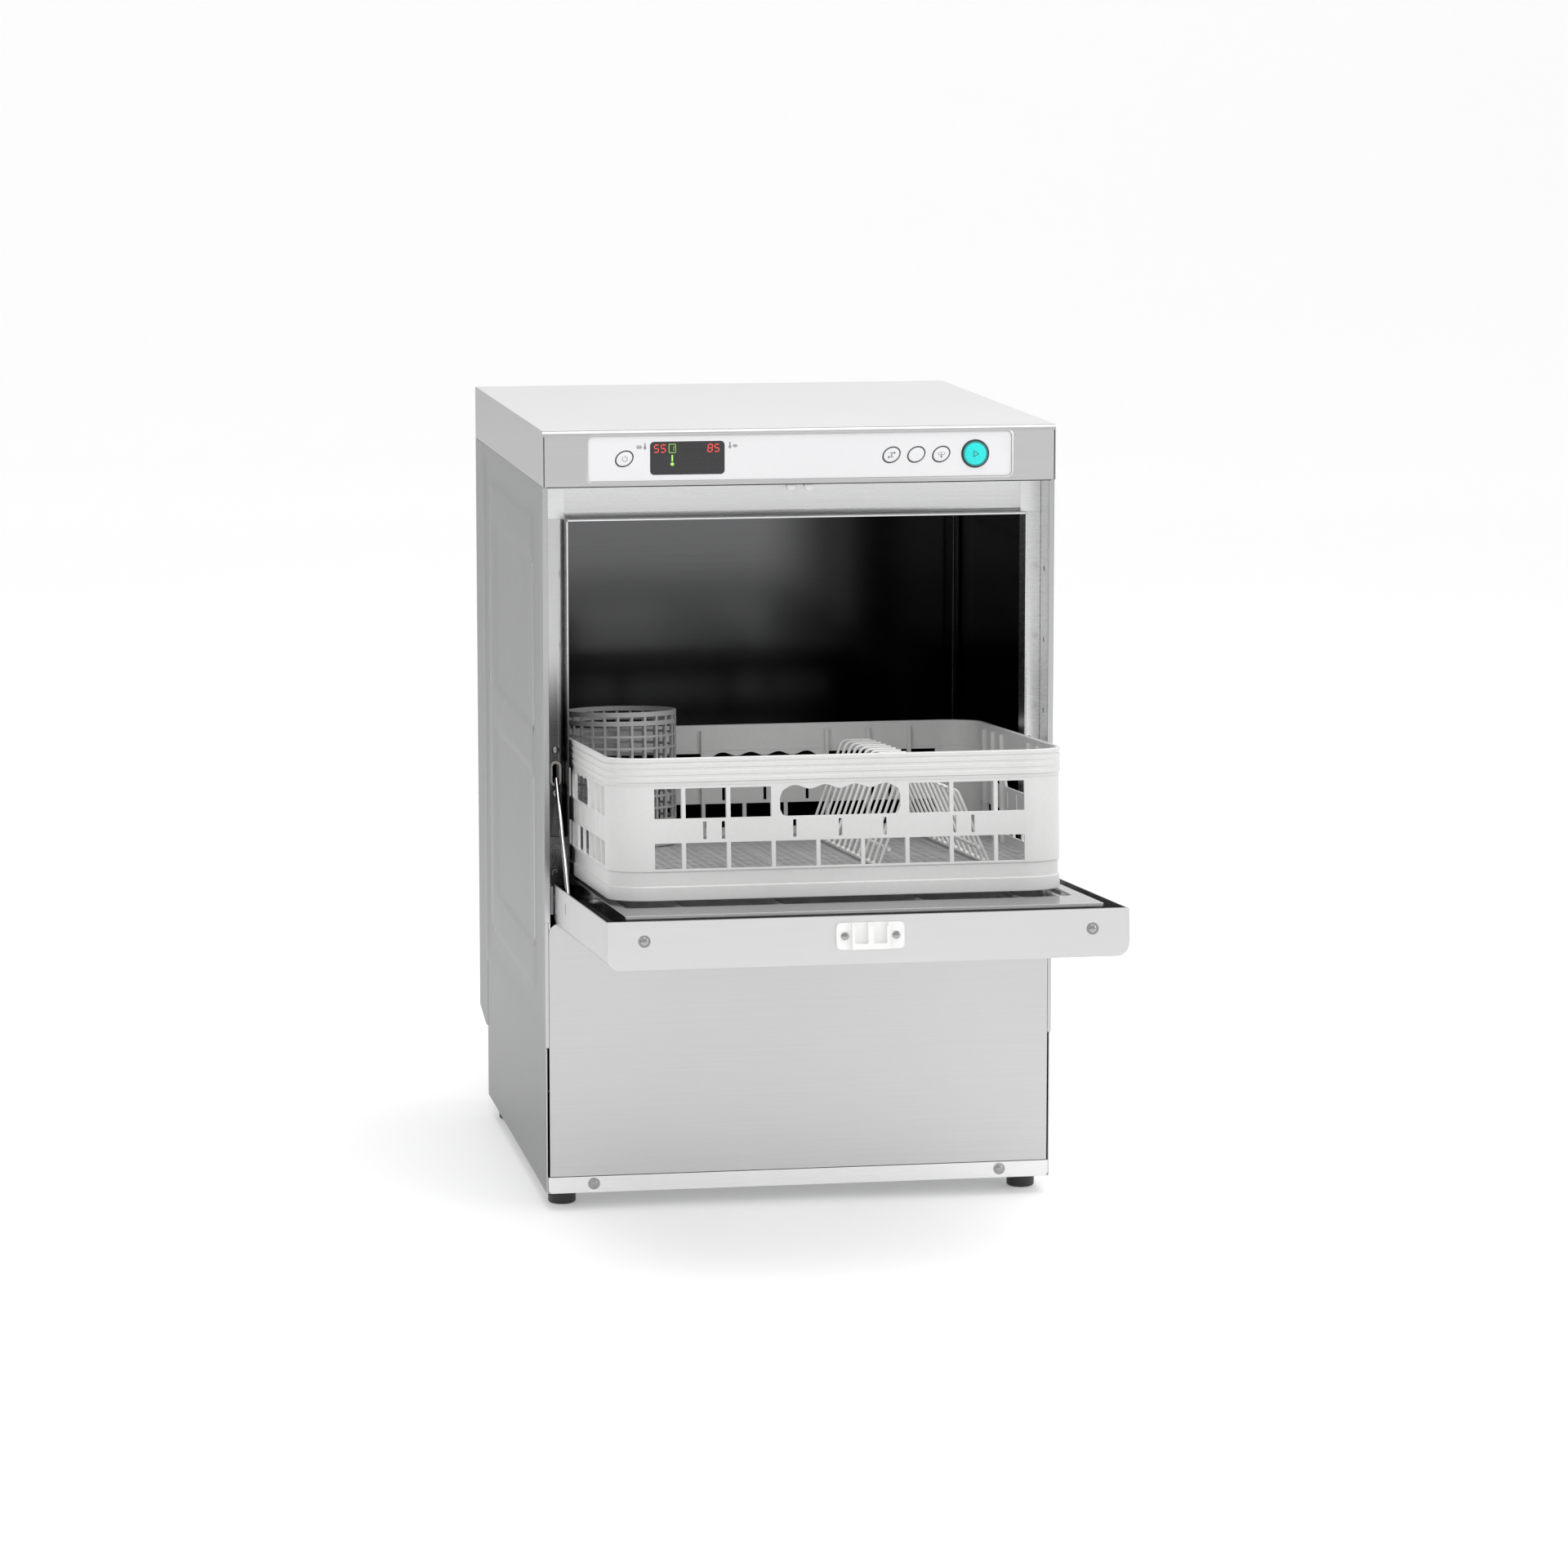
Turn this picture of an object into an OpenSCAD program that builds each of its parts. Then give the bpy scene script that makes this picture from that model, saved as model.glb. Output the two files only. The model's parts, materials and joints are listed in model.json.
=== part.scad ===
// Front-loading glass washer machine with a drop-down door, a pull-out rack and a rinse and wash system.
// Built in millimetres, +Z up, seen from the front along +Y, with +X to the right.

/* [Cabinet] */
// Outer width of the cabinet
body_w = 460; // [460:1:470]
// Height from the lower edge of the cabinet to the top of the lid
body_h = 683.6; // [683.6:0.1:700]
// Height of the lid, which holds the controls
lid_h = 49.2; // [49.2:0.1:54]
// Depth of the lid, front to back
lid_d = 517; // [515:1:520]
// Depth of the side panels
side_d = 452; // [452:1:456]
// Thickness of the sheet steel
sheet = 1.2; // [1:0.1:1.3]
// Height of the seam between each side panel and the base side
seam_z = 133; // [125:1:140]
// Height of a foot
foot_h = 16; // [10:1:25]
// Radius of a foot
foot_r = 12.7; // [10:0.1:14]

/* [Door] */
// Half the width of the door
door_hw = 221.5; // [221:0.1:221.5]
// Thickness of the door's outer shell, rim to face
door_t = 40.5; // [39:0.1:41]
// Radius of the bend along the door's outer edges
door_bend = 11; // [8:1:12]

/* [Rack] */
// Width of the rack at its rim
rack_w = 398; // [396:1:398]
// Depth of the rack at its rim
rack_d = 400; // [398:1:400]
// Height of the rack's walls
rack_h = 122; // [118:1:125]
// Radius of the rack's corners
rack_r = 38; // [30:1:42]
// Sideways place of the rack's centre
rack_x = -4; // [-4:1:0]

/* [Controls] */
// Radius of the start button
start_r = 11.3; // [10:0.1:12]
// Half the width of an oval button
oval_a = 7.2; // [6:0.1:8]
// Half the height of an oval button
oval_b = 6.4; // [5:0.1:7.5]
// How far a button stands out of the panel
button_proud = 2.2; // [2.2:0.1:3]

/* [Hidden] */
$fn = 48;
eps = 0.01;

// Cabinet
half_w = body_w / 2;
lid_front = -4;
lid_z = body_h - lid_h;
rear_y = side_d - 1.5;
hem_w = 5;
hem_d = 34;
jamb_y = 35;
mouth_hw = 206;
mouth_top = 602.4;
lip_front = 10;
sill_z = 262;
jamb_screw_z = [357, 396];
tank_z = 163.5;
service_hw = 226.5;
service_top = 245.5;
tank_front = 34.3;
ceiling_z = lid_z - 6.4;

// Angle above level at which the open door rests, and its length from its hinge line to its free edge
door_tilt = 4;
door_len = 351.3;

// Hinge line of the door, and the door's heights measured square to its rim
hinge_y = 7.5;
hinge_z = 265.5;
rim_n = 14.7;
skin_n = rim_n - door_t;
panel_n = 18;
panel_hw = 203.5;
panel_len = 334.5;
panel_start = 10;
floor_n = -10;
skin_start = 8;
rod_x = 215;
rod_u = 60;
rod_n = 2;
rod_r = 2;
rod_len = 131;
rod_lean = 49.8;

// Latch block on the door's free edge: how far it stands out, and its lower edge
latch_out = 5.6;
latch_low = -13.3;

// Furthest the object reaches in front of and behind the cabinet's front plane, with its door open;
// the frame's origin is under the middle of the two
reach_front = (door_len + latch_out) * cos(door_tilt) - latch_low * sin(door_tilt) - hinge_y;
reach_back = lid_front + lid_d;
front_y = (reach_front - reach_back) / 2;

// Rack: its front feet turn about a line that lies rack_out in front of the hinge line,
// and guide_r above the door's inner face
rack_out = 235.5;
guide_r = 6;
guide_n = panel_n + 0.3 + guide_r;
rack_base = -4.2;
rack_front = 5.5;
wall = 2.4;
rim_step = 1.3;
cell = 38.6;
cell_rib = 3.6;
row_low = [27, 49];
row_high = [70, 95.5];
foot_span = 150;
cup_at = [-141.5, 334];
cup_r = 50;
cup_h = 122;
floor_w = 17;
floor_t = 3;
floor_top = rack_base + floor_w + floor_t;
rail_r = 1.8;
wire_r = 1.4;
wire_count = 15;
wire_pitch = 24.5;
wire_y0 = 21;

// Spray arms turn about one upright line
arm_y = 243;
upper_wash_z = ceiling_z - 40;
upper_wash_h = 14;
upper_rinse_z = ceiling_z - 22.5;
post_r = 8;
run_gap = 0.05;

// Pipe that feeds the upper arms, up behind the chamber and forward under the lid
riser_x = -34;
riser_y = 482;
riser_r = 8;
riser_low = 84;
riser_top = lid_z + 13.6;

// Controls
panel_mid_z = lid_z + 24.1;
overlay_hw = 190;
overlay_hh = 20;
power_x = -157.5;
programme_x = [81.3, 103.7, 126.1];
start_x = 156.9;
display_x = -101.4;
display_w = 66.4;
display_h = 29.3;

// Everything is drawn from the front plane and lower edge of the cabinet, then moved as one
module place() translate([0, front_y, foot_h]) children();

// A block given by its lowest and highest corner
module block(low, high) translate(low) cube(high - low);

// A flat bar with round ends about its centre
module capsule(w, h) {
    square([w - h, h], center = true);
    for (s = [-1, 1]) translate([s * (w - h) / 2, 0]) circle(h / 2);
}

module both_sides() {
    children();
    mirror([1, 0, 0]) children();
}

// A flat rounded rectangle about its centre
module round_rect(w, h, r) {
    square([w - 2 * r, h], center = true);
    square([w, h - 2 * r], center = true);
    for (sx = [-1, 1], sy = [-1, 1])
        translate([sx * (w / 2 - r), sy * (h / 2 - r)]) circle(r);
}

// An outline drawn as [y, z], pulled along X between two places
module along_x(x0, x1)
    translate([x0, 0, 0]) rotate([90, 0, 90]) linear_extrude(x1 - x0) children();

// An outline drawn as [x, z], pulled back along Y between two places
module along_y(y0, y1)
    translate([0, y1, 0]) rotate([90, 0, 0]) linear_extrude(y1 - y0) children();

// A rod along X, Y
module rod_x_dir(x0, x1, y, z, r) translate([x0, y, z]) rotate([0, 90, 0]) cylinder(x1 - x0, r, r);
module rod_y_dir(y0, y1, x, z, r) translate([x, y0, z]) rotate([-90, 0, 0]) cylinder(y1 - y0, r, r);

// Moves the door's own frame to its place: x across, -y along the door, z square to its inner face
module door_frame()
    place() translate([0, hinge_y, hinge_z]) rotate([-door_tilt, 0, 0]) children();

// Moves the rack's frame to its place: the origin is the line that its front feet turn about
module rack_frame()
    door_frame() translate([rack_x, -rack_out, guide_n]) children();

// ---------- lid and controls ----------

module lid_outline(grow) {
    bend = 4 + grow;
    translate([lid_front - grow, lid_z]) square([lid_d + 2 * grow, lid_h + grow - bend]);
    translate([lid_front - grow + bend, lid_z]) square([lid_d + 2 * grow - bend, lid_h + grow]);
    translate([lid_front - grow + bend, lid_z + lid_h + grow - bend]) circle(bend);
}

module top_cover() color("gainsboro") place() {
    difference() {
        along_x(-half_w, half_w) lid_outline(0);
        difference() {
            along_x(-half_w + sheet, half_w - sheet) lid_outline(-sheet);
            block([-half_w, lid_front, lid_z - 1], [half_w, lid_front + sheet, lid_z + lid_h]);
        }
        block([-half_w + sheet, lid_front + sheet, lid_z - 1], [half_w - sheet, lid_front + lid_d - sheet, lid_z + 1]);
        along_y(lid_front - 1, lid_front + sheet + 1)
            translate([0, panel_mid_z]) round_rect(2 * overlay_hw, 2 * overlay_hh, 4);
    }
}

function oval(a, b, lean) = [for (t = [0:10:350]) [a * cos(t) + lean * b * sin(t), b * sin(t)]];

module oval_outline(grow) polygon(oval(oval_a + grow, oval_b + grow, 0.25));

module control_overlay() color("whitesmoke") place() along_y(lid_front + 0.8, lid_front + 2.4)
    translate([0, panel_mid_z]) difference() {
        round_rect(2 * overlay_hw - 0.4, 2 * overlay_hh - 0.4, 3.8);
        for (x = concat([power_x], programme_x)) translate([x, 0]) oval_outline(0.3);
        translate([start_x, 0]) circle(start_r + 0.3);
        translate([display_x, 0]) round_rect(display_w, display_h, 4);
    }

module display_window() color("black") place() along_y(lid_front + 0.9, lid_front + 3.4)
    translate([display_x, panel_mid_z]) round_rect(display_w - 0.2, display_h - 0.2, 3.9);

module control_tray() color("dimgray") place() difference() {
    block([-196, lid_front + 14, lid_z + 4], [196, 60, body_h - 4]);
    block([-194, lid_front + 12, lid_z + 6], [194, 58, body_h - 6]);
}

module control_board() color("darkgreen") place() {
    block([-180, lid_front + 11, panel_mid_z - 17], [180, lid_front + 12.6, panel_mid_z + 17]);
    block([display_x - 28, lid_front + 4, panel_mid_z - 12], [display_x + 28, lid_front + 11, panel_mid_z + 12]);
    for (x = [-60, 20, 50]) block([x, lid_front + 12.6, panel_mid_z - 8], [x + 18, lid_front + 17, panel_mid_z + 8]);
}

// A button reaches through the panel and stops 2.5 short of the board, which leaves room for its travel
module button_stem(x) rod_y_dir(lid_front + 3, lid_front + 8.5, x, panel_mid_z, 3);

module oval_button(x) place() {
    along_y(lid_front + 0.8 - button_proud, lid_front + 4) translate([x, panel_mid_z]) oval_outline(0);
    button_stem(x);
}

module power_button() color("silver") oval_button(power_x);
module programme_button_1() color("silver") oval_button(programme_x[0]);
module programme_button_2() color("silver") oval_button(programme_x[1]);
module programme_button_3() color("silver") oval_button(programme_x[2]);

module start_button() color("darkturquoise") place() {
    rod_y_dir(lid_front + 0.8 - button_proud, lid_front + 4, start_x, panel_mid_z, start_r);
    button_stem(start_x);
}

// Two tabs under the lid that the door's latch closes over
module catch_tabs() color("white") place() for (x = [-8, 8])
    block([x - 4, 0, lid_z - 6.2], [x + 4, 10, lid_z + 3]);

// ---------- cabinet ----------

module front_lintel() color("silver") place() {
    block([-half_w + hem_w, jamb_y, mouth_top], [half_w - hem_w, jamb_y + sheet, lid_z - 0.5]);
    block([-mouth_hw, lip_front, mouth_top], [mouth_hw, jamb_y, mouth_top + 1.5]);
    block([-half_w + hem_w, jamb_y, lid_z - 1.7], [half_w - hem_w, jamb_y + 12, lid_z - 0.5]);
}

// A pressed groove with round ends, cut into the outer face of a side panel
module groove(y, z0, z1) {
    block([-half_w - 1, y - 4, z0 + 4], [-half_w + 1, y + 4, z1 - 4]);
    for (z = [z0 + 4, z1 - 4]) translate([-half_w - 1, y, z]) rotate([0, 90, 0]) cylinder(2, 4, 4);
}

module side_panel() {
    difference() {
        union() {
            block([-half_w, 0, seam_z], [-half_w + 2, side_d, lid_z - 0.3]);
            block([-half_w, 0, seam_z], [-half_w + hem_w, sheet, lid_z - 0.3]);
            block([-half_w + hem_w - sheet, 0, seam_z], [-half_w + hem_w, hem_d, lid_z - 0.3]);
        }
        groove(411, 172, 598);
        groove(78.4, 406, 561);
        groove(78.4, 213, 368);
        for (z = [552, 488, 424]) rod_x_dir(-half_w + 3, -half_w + hem_w + 1, 20, z, 2.5);
        block([-service_hw - 0.2, -1, seam_z - 1], [-half_w + hem_w + 1, sheet + 0.2, service_top + 0.5]);
    }
}

module side_panel_left() color("lightgray") place() side_panel();
module side_panel_right() color("lightgray") place() mirror([1, 0, 0]) side_panel();

// Back wall of the wash chamber and of the base, with holes for the services
module rear_panel() color("silver") place() difference() {
    block([-half_w + 2.1, rear_y, 1.6], [half_w - 2.1, rear_y + sheet, lid_z - 0.5]);
    rod_y_dir(rear_y - 1, rear_y + 3, -150, 40, 11.2);
    rod_y_dir(rear_y - 1, rear_y + 3, 150, 40, 8.2);
    rod_y_dir(rear_y - 1, rear_y + 3, 60, 40, 8.2);
}

module rear_cover_outline(inset) {
    y0 = side_d + 0.2;
    polygon([
        [y0 - inset, lid_z - 0.4 + inset], [reach_back - inset, lid_z - 0.4 + inset],
        [reach_back - inset, 78 + inset], [466, 68 + inset], [y0 - inset, 68 + inset]
    ]);
}

module rear_cover() color("gainsboro") place() difference() {
    along_x(-half_w, half_w) rear_cover_outline(0);
    along_x(-half_w + sheet, half_w - sheet) rear_cover_outline(sheet);
}

module chamber_ceiling() color("silver") place() difference() {
    block([-half_w + 2.1, jamb_y + sheet, ceiling_z], [half_w - 2.1, rear_y, ceiling_z + sheet]);
    translate([0, arm_y, ceiling_z - 1]) cylinder(4, 12.1, 12.1);
}

// Open box that holds the wash water
module wash_tank() color("silver") place() difference() {
    block([-half_w + 2.1, tank_front, tank_z], [half_w - 2.1, rear_y, sill_z]);
    block([-half_w + 3.3, tank_front + sheet, tank_z + 1.5], [half_w - 3.3, rear_y - sheet, sill_z + 1]);
    translate([0, arm_y, tank_z - 1]) cylinder(4, 12.1, 12.1);
    translate([150, 400, tank_z - 1]) cylinder(4, 16.1, 16.1);
}

// Frame of the chamber's mouth on one side: a plate with a slot, and a lip that the door's seal meets
module jamb() {
    difference() {
        block([-half_w + hem_w, jamb_y, sill_z], [-mouth_hw, jamb_y + sheet, mouth_top]);
        block([-rod_x - 3, jamb_y - 1, 369], [-rod_x + 3, jamb_y + 3, 381]);
        for (z = [369, 381]) rod_y_dir(jamb_y - 1, jamb_y + 3, -rod_x, z, 3);
        for (z = jamb_screw_z) rod_y_dir(jamb_y - 1, jamb_y + 3, -rod_x, z, 1.5);
    }
    block([-mouth_hw - 1.5, lip_front, sill_z + 20], [-mouth_hw, jamb_y, mouth_top]);
}

module jamb_left() color("darkgray") place() jamb();
module jamb_right() color("darkgray") place() mirror([1, 0, 0]) jamb();

module slot_grommets() color("ivory") place() both_sides() difference() {
    along_y(jamb_y - 1.6, jamb_y) translate([-rod_x, 375]) rotate(90) capsule(23, 10);
    along_y(jamb_y - 3, jamb_y + 1) translate([-rod_x, 375]) rotate(90) capsule(18, 6);
}

module base_pan() color("silver") place() {
    block([-half_w + 2.1, 3, 0], [half_w - 2.1, rear_y, 1.5]);
    block([-half_w + 2.1, 3, 0], [half_w - 2.1, 4.5, 15]);
    for (x = [-140, 138.5]) block([x, 10, 1.5], [x + 1.5, rear_y - 10, 14]);
}

module base_side() block([-half_w + 0.6, 2, 0], [-half_w + 1.9, rear_y + sheet, seam_z - 0.6]);
module base_side_left() color("lightgray") place() base_side();
module base_side_right() color("lightgray") place() mirror([1, 0, 0]) base_side();

// Lower front panel, with rounded upper corners
module service_panel() color("gainsboro") place() {
    block([-service_hw, 0, 15.7], [service_hw, sheet, service_top - 10]);
    block([-service_hw + 10, 0, service_top - 10 - eps], [service_hw - 10, sheet, service_top]);
    both_sides() rod_y_dir(0, sheet, service_hw - 10, service_top - 10, 10);
    block([-222, sheet, 20], [222, 18, 21.2]);
    block([-212, sheet, 243], [212, 24, 244.2]);
}

module plinth_strip() color("whitesmoke") place() difference() {
    block([-228, 0.4, 0.3], [228, 2.4, 15.2]);
    for (x = [-187, 183]) rod_y_dir(-1, 4, x, 8.5, 2.1);
}

// A pan-head screw that points along +Y
module front_screw(x, z, y, head_r, len) {
    rod_y_dir(y - 1.6, y, x, z, head_r);
    rod_y_dir(y - 0.2, y + len, x, z, head_r * 0.38);
}

module cabinet_screws() color("silver") place() {
    for (x = [-187, 183]) front_screw(x, 8.5, 0.4, 5.4, 2.5);
    both_sides() {
        for (z = jamb_screw_z) front_screw(-rod_x, z, jamb_y, 3.6, 1);
        for (z = [305.5, 285.5]) {
            rod_y_dir(31.5, 32.8, -215.2, z, 6.2);
            rod_y_dir(27.5, 31.5, -215.2, z, 4.6);
        }
    }
}

module feet() color("black") place()
    for (x = [-211, 211], y = [40, 412]) translate([x, y, -foot_h]) {
        cylinder(foot_h - 4, foot_r, foot_r);
        translate([0, 0, foot_h - 4 - eps]) cylinder(4 + eps, foot_r - 3, foot_r - 3);
    }

// Ledge that carries one side of the rack inside the chamber
module rack_rail() {
    block([-half_w + 3.4, jamb_y + 3, 272.2], [-188, rear_y - 4, 274]);
    block([-half_w + 3.4, jamb_y + 3, 250], [-half_w + 5, rear_y - 4, 272.2 + eps]);
    block([-189.6, jamb_y + 3, 268], [-188, rear_y - 4, 272.2 + eps]);
}

module rack_rail_left() color("silver") place() rack_rail();
module rack_rail_right() color("silver") place() mirror([1, 0, 0]) rack_rail();

// Brackets bolted to the jambs; each carries the pin that one side of the door turns on
module hinge_bracket() {
    difference() {
        block([-224.7, -1, 254], [-222.4, jamb_y, 318]);
        block([-226, -3, 279], [-221, 20, 320]);
        block([-226, tank_front - 0.3, 253], [-221, jamb_y + 1, sill_z + 0.3]);
    }
    difference() {
        block([-224.7, 32.8, 274], [-208.5, jamb_y, 318]);
        for (z = [305.5, 285.5]) rod_y_dir(30, 36, -215.2, z, 2.6);
    }
    rod_x_dir(-224, -215.6, hinge_y, hinge_z, 4);
}

module hinge_brackets() color("gray") place() both_sides() hinge_bracket();

// ---------- wash and rinse system ----------

// Flat perforated filter that lies above the tank's floor
module tank_filter() color("darkgray") place() difference() {
    block([-215, 45, 200], [215, 424, 201.5]);
    translate([0, arm_y, 199]) cylinder(4, 30, 30);
    translate([150, 400, 199]) cylinder(4, 20, 20);
    for (i = [-4:4], j = [0:7]) {
        by_post = i == 0 && (j == 3 || j == 4);
        by_pipe = i > 2 && j > 6;
        if (!by_post && !by_pipe) translate([i * 44, 68 + j * 49, 199]) cylinder(4, 7, 7);
    }
}

module wash_pump() color("dimgray") place() {
    translate([60, 230, 75]) {
        cylinder(26, 46, 46);
        translate([0, 0, -65]) cylinder(66, 38, 38);
        translate([0, 0, 26 - eps]) cylinder(62, 17, 17);
    }
    block([16, 250, 82], [34, 330, 98]);
}

module drain_pump() color("black") place() {
    rod_y_dir(350, 410, 150, 60, 26);
    rod_y_dir(410 - eps, 428, 150, 60, 34);
    translate([150, 400, 93]) cylinder(tank_z - 93.5, 10, 10);
}

module boiler() color("silver") place() {
    rod_x_dir(-205, 5, 120, 82, 58);
    rod_x_dir(5 - eps, 22, 120, 82, 22);
    rod_x_dir(22 - eps, 34, 120, 96, 4);
    for (x = [-170, -40]) block([x, 84, 1.6], [x + 16, 156, 40]);
}

// Hairpin element that lies low in the wash tank
module tank_heater() color("dimgray") place() {
    for (x = [-170, -130]) rod_y_dir(tank_front + sheet + 0.1, 380, x, 182, 4);
    rod_x_dir(-170, -130, 380, 182, 4);
    for (x = [-170, -130]) translate([x, 380, 182]) sphere(4);
}

module inlet_valve() color("royalblue") place() {
    rod_y_dir(405, rear_y + 5, -150, 40, 11);
    rod_y_dir(rear_y + 5, rear_y + 21, -150, 40, 13.2);
    block([-170, 375, 24], [-130, 405.5, 62]);
    translate([-150, 388, 62 - eps]) cylinder(24, 13, 13);
}

module drain_outlet() color("darkgray") place() difference() {
    union() {
        rod_y_dir(429, rear_y + 34, 150, 40, 8);
        rod_y_dir(rear_y + sheet + 0.1, rear_y + 6, 150, 40, 15);
    }
    rod_y_dir(428, rear_y + 40, 150, 40, 6);
}

module cable_gland() color("black") place() difference() {
    union() {
        rod_y_dir(rear_y - 12, rear_y + 16, 60, 40, 8);
        rod_y_dir(rear_y + sheet + 0.1, rear_y + 7, 60, 40, 12.5);
    }
    rod_y_dir(rear_y - 14, rear_y + 20, 60, 40, 4.6);
}

// Pipe that takes water up behind the chamber and over its ceiling to the upper arms
module rinse_riser() color("dimgray") place() {
    translate([riser_x, riser_y, riser_low]) cylinder(riser_top - riser_low, riser_r, riser_r);
    translate([riser_x, riser_y, riser_top]) sphere(riser_r);
    rod_y_dir(arm_y, riser_y, riser_x, riser_top, riser_r);
    translate([riser_x, arm_y, riser_top]) sphere(riser_r);
    rod_x_dir(riser_x, 0, arm_y, riser_top, riser_r);
    translate([0, arm_y, riser_top]) sphere(riser_r);
    translate([0, arm_y, ceiling_z + 6.1]) cylinder(riser_top - ceiling_z - 6.1, riser_r, riser_r);
    for (z = [200, 520]) block([riser_x - 6, side_d + 0.3, z], [riser_x + 6, riser_y, z + 14]);
}

// Fixed posts that the arms turn on, below and above
module arm_posts() color("dimgray") place() translate([0, arm_y, 0]) {
    translate([0, 0, tank_z]) cylinder(43, 12, 12);
    translate([0, 0, tank_z + 42]) cylinder(54, post_r, post_r);
    translate([0, 0, 218.4]) cylinder(1.2, 14, 14);
    translate([0, 0, 238.3]) cylinder(1.2, 14, 14);
    translate([0, 0, 256.3]) cylinder(6, 12, 12);
    translate([0, 0, upper_wash_z - 8]) cylinder(6, 12, 12);
    translate([0, 0, upper_wash_z - 3]) cylinder(ceiling_z - upper_wash_z - 5, post_r, post_r);
    translate([0, 0, upper_wash_z + upper_wash_h + 0.5]) cylinder(1.2, 14, 14);
    translate([0, 0, ceiling_z - 10]) cylinder(16, 12, 12);
}

module dosing_pump() color("slategray") place() {
    block([-120, 300, 1.6], [-60, 350, 66]);
    rod_y_dir(288, 301, -90, 36, 22);
}

// A wash arm: a hub on its post, two flat blades and a row of jets that face up or down
module spray_arm(z0, h, reach, blade_w, jet_side, turn) place() translate([0, arm_y, z0]) rotate([0, 0, turn]) {
    difference() {
        union() {
            cylinder(h, 21, 21);
            linear_extrude(h) capsule(2 * reach, blade_w);
            for (x = [-reach + 18:42:reach - 18])
                if (abs(x) > 30) translate([x, 0, jet_side > 0 ? h - eps : -1.6]) cylinder(1.6 + eps, 5, 5);
        }
        translate([0, 0, -3]) cylinder(h + 6, post_r + run_gap, post_r + run_gap);
    }
}

module lower_wash_arm() color("lightsteelblue") spray_arm(220, 17, 182, 34, 1, 25);
module lower_rinse_arm() color("lightsteelblue") spray_arm(240, 12, 176, 16, 1, -40);
module upper_rinse_arm() color("lightsteelblue") spray_arm(upper_rinse_z, 10, 172, 16, -1, 20);
module upper_wash_arm() color("lightsteelblue") spray_arm(upper_wash_z, upper_wash_h, 178, 32, -1, -12);

// Overflow pipe that lifts out to empty the tank
module standpipe() color("gray") place() translate([150, 400, tank_z - 0.1]) difference() {
    union() {
        cylinder(48, 12, 12);
        cylinder(6, 16, 16);
        translate([0, 0, 46]) cylinder(6, 15, 15);
    }
    translate([0, 0, 6]) cylinder(60, 9.5, 9.5);
}

// ---------- door ----------

// Outline of the door across its width, as [x, n]
module door_across(inset) {
    w = door_hw - inset;
    low = skin_n + inset;
    bend = door_bend - inset;
    translate([-w, low + bend]) square([2 * w, rim_n - low - bend + (inset > 0 ? 5 : 0)]);
    translate([-w + bend, low]) square([2 * (w - bend), bend + 1]);
    for (s = [-1, 1]) translate([s * (w - bend), low + bend]) circle(bend);
}

// Outline of the door along its length, as [-y, n]
module door_along(inset) {
    tip = door_len - inset;
    low = skin_n + inset;
    bend = door_bend - inset;
    start = skin_start - (inset > 0 ? 5 : 0);
    translate([start, low + bend]) square([tip - start, rim_n - low - bend + (inset > 0 ? 5 : 0)]);
    translate([start, low]) square([tip - start - bend, bend + 1]);
    translate([tip - bend, low + bend]) circle(bend);
}

module door_form(inset) intersection() {
    along_y(-door_len - 10, 20) door_across(inset);
    rotate([0, 0, 180]) along_x(-door_hw - 5, door_hw + 5) door_along(inset);
}

module door_outer_skin() color("lightgray") door_frame() {
    difference() {
        door_form(0);
        door_form(sheet);
        for (x = [-190, 190]) rod_y_dir(-door_len - 1, -door_len + 3, x, -1.7, 2.3);
    }
    block([-door_hw + 1, -door_len + 1, rim_n - 1.2], [door_hw - 1, -door_len + 6, rim_n]);
}

// Pan that faces the chamber, with a sunk channel round it for the seal
module door_inner_panel() color("silver") door_frame() {
    block([-panel_hw, -panel_len, panel_n - 1.5], [panel_hw, -panel_start, panel_n]);
    both_sides() block([-panel_hw, -panel_len, floor_n], [-panel_hw + sheet, -panel_start, panel_n - 1]);
    block([-panel_hw, -panel_len, floor_n], [panel_hw, -panel_len + sheet, panel_n - 1]);
    both_sides() block([-door_hw + sheet + 4.1, -door_len + sheet + 0.1, floor_n], [-panel_hw + 1, -skin_start, floor_n + sheet]);
    block([-door_hw + sheet + 4.1, -door_len + sheet + 0.1, floor_n], [door_hw - sheet - 4.1, -panel_len + 1, floor_n + sheet]);
    both_sides() block([-door_hw + sheet + 4.1, -door_len + sheet + 0.1, skin_n + sheet + door_bend],
                       [-door_hw + sheet + 5.3, -door_len + 60, floor_n + 1]);
}

// Seal in the channel, which meets the lip round the mouth when the door is shut
module door_gasket() color("black") door_frame() {
    low = floor_n + sheet;
    both_sides() block([-panel_hw - 7, -panel_len - 8, low], [-panel_hw - 1, -24, 2.2]);
    block([-panel_hw - 7, -panel_len - 8, low], [panel_hw + 7, -panel_len - 1, 2.2]);
}

// Block on the door's free edge, with a pocket for each catch tab
module door_latch() color("white") door_frame() difference() {
    union() {
        along_y(-door_len - 2.6, -door_len - 0.05) translate([0, -2]) round_rect(57.6, 22.6, 3);
        block([-16, -door_len - latch_out, latch_low], [16, -door_len - 2, latch_low + 22.6]);
    }
    for (x = [-8, 8]) block([x - 5.4, -door_len - 7, -9], [x + 5.4, -door_len - 0.8, 12]);
}

module door_screws() color("silver") door_frame() {
    for (x = [-190, 190]) {
        rod_y_dir(-door_len - 1.5, -door_len, x, -1.7, 5.2);
        rod_y_dir(-door_len - 0.2, -door_len + 6, x, -1.7, 2.2);
    }
    for (x = [-21.8, 21.8]) rod_y_dir(-door_len - 3.8, -door_len - 2.6, x, -1.7, 3.6);
}

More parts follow.
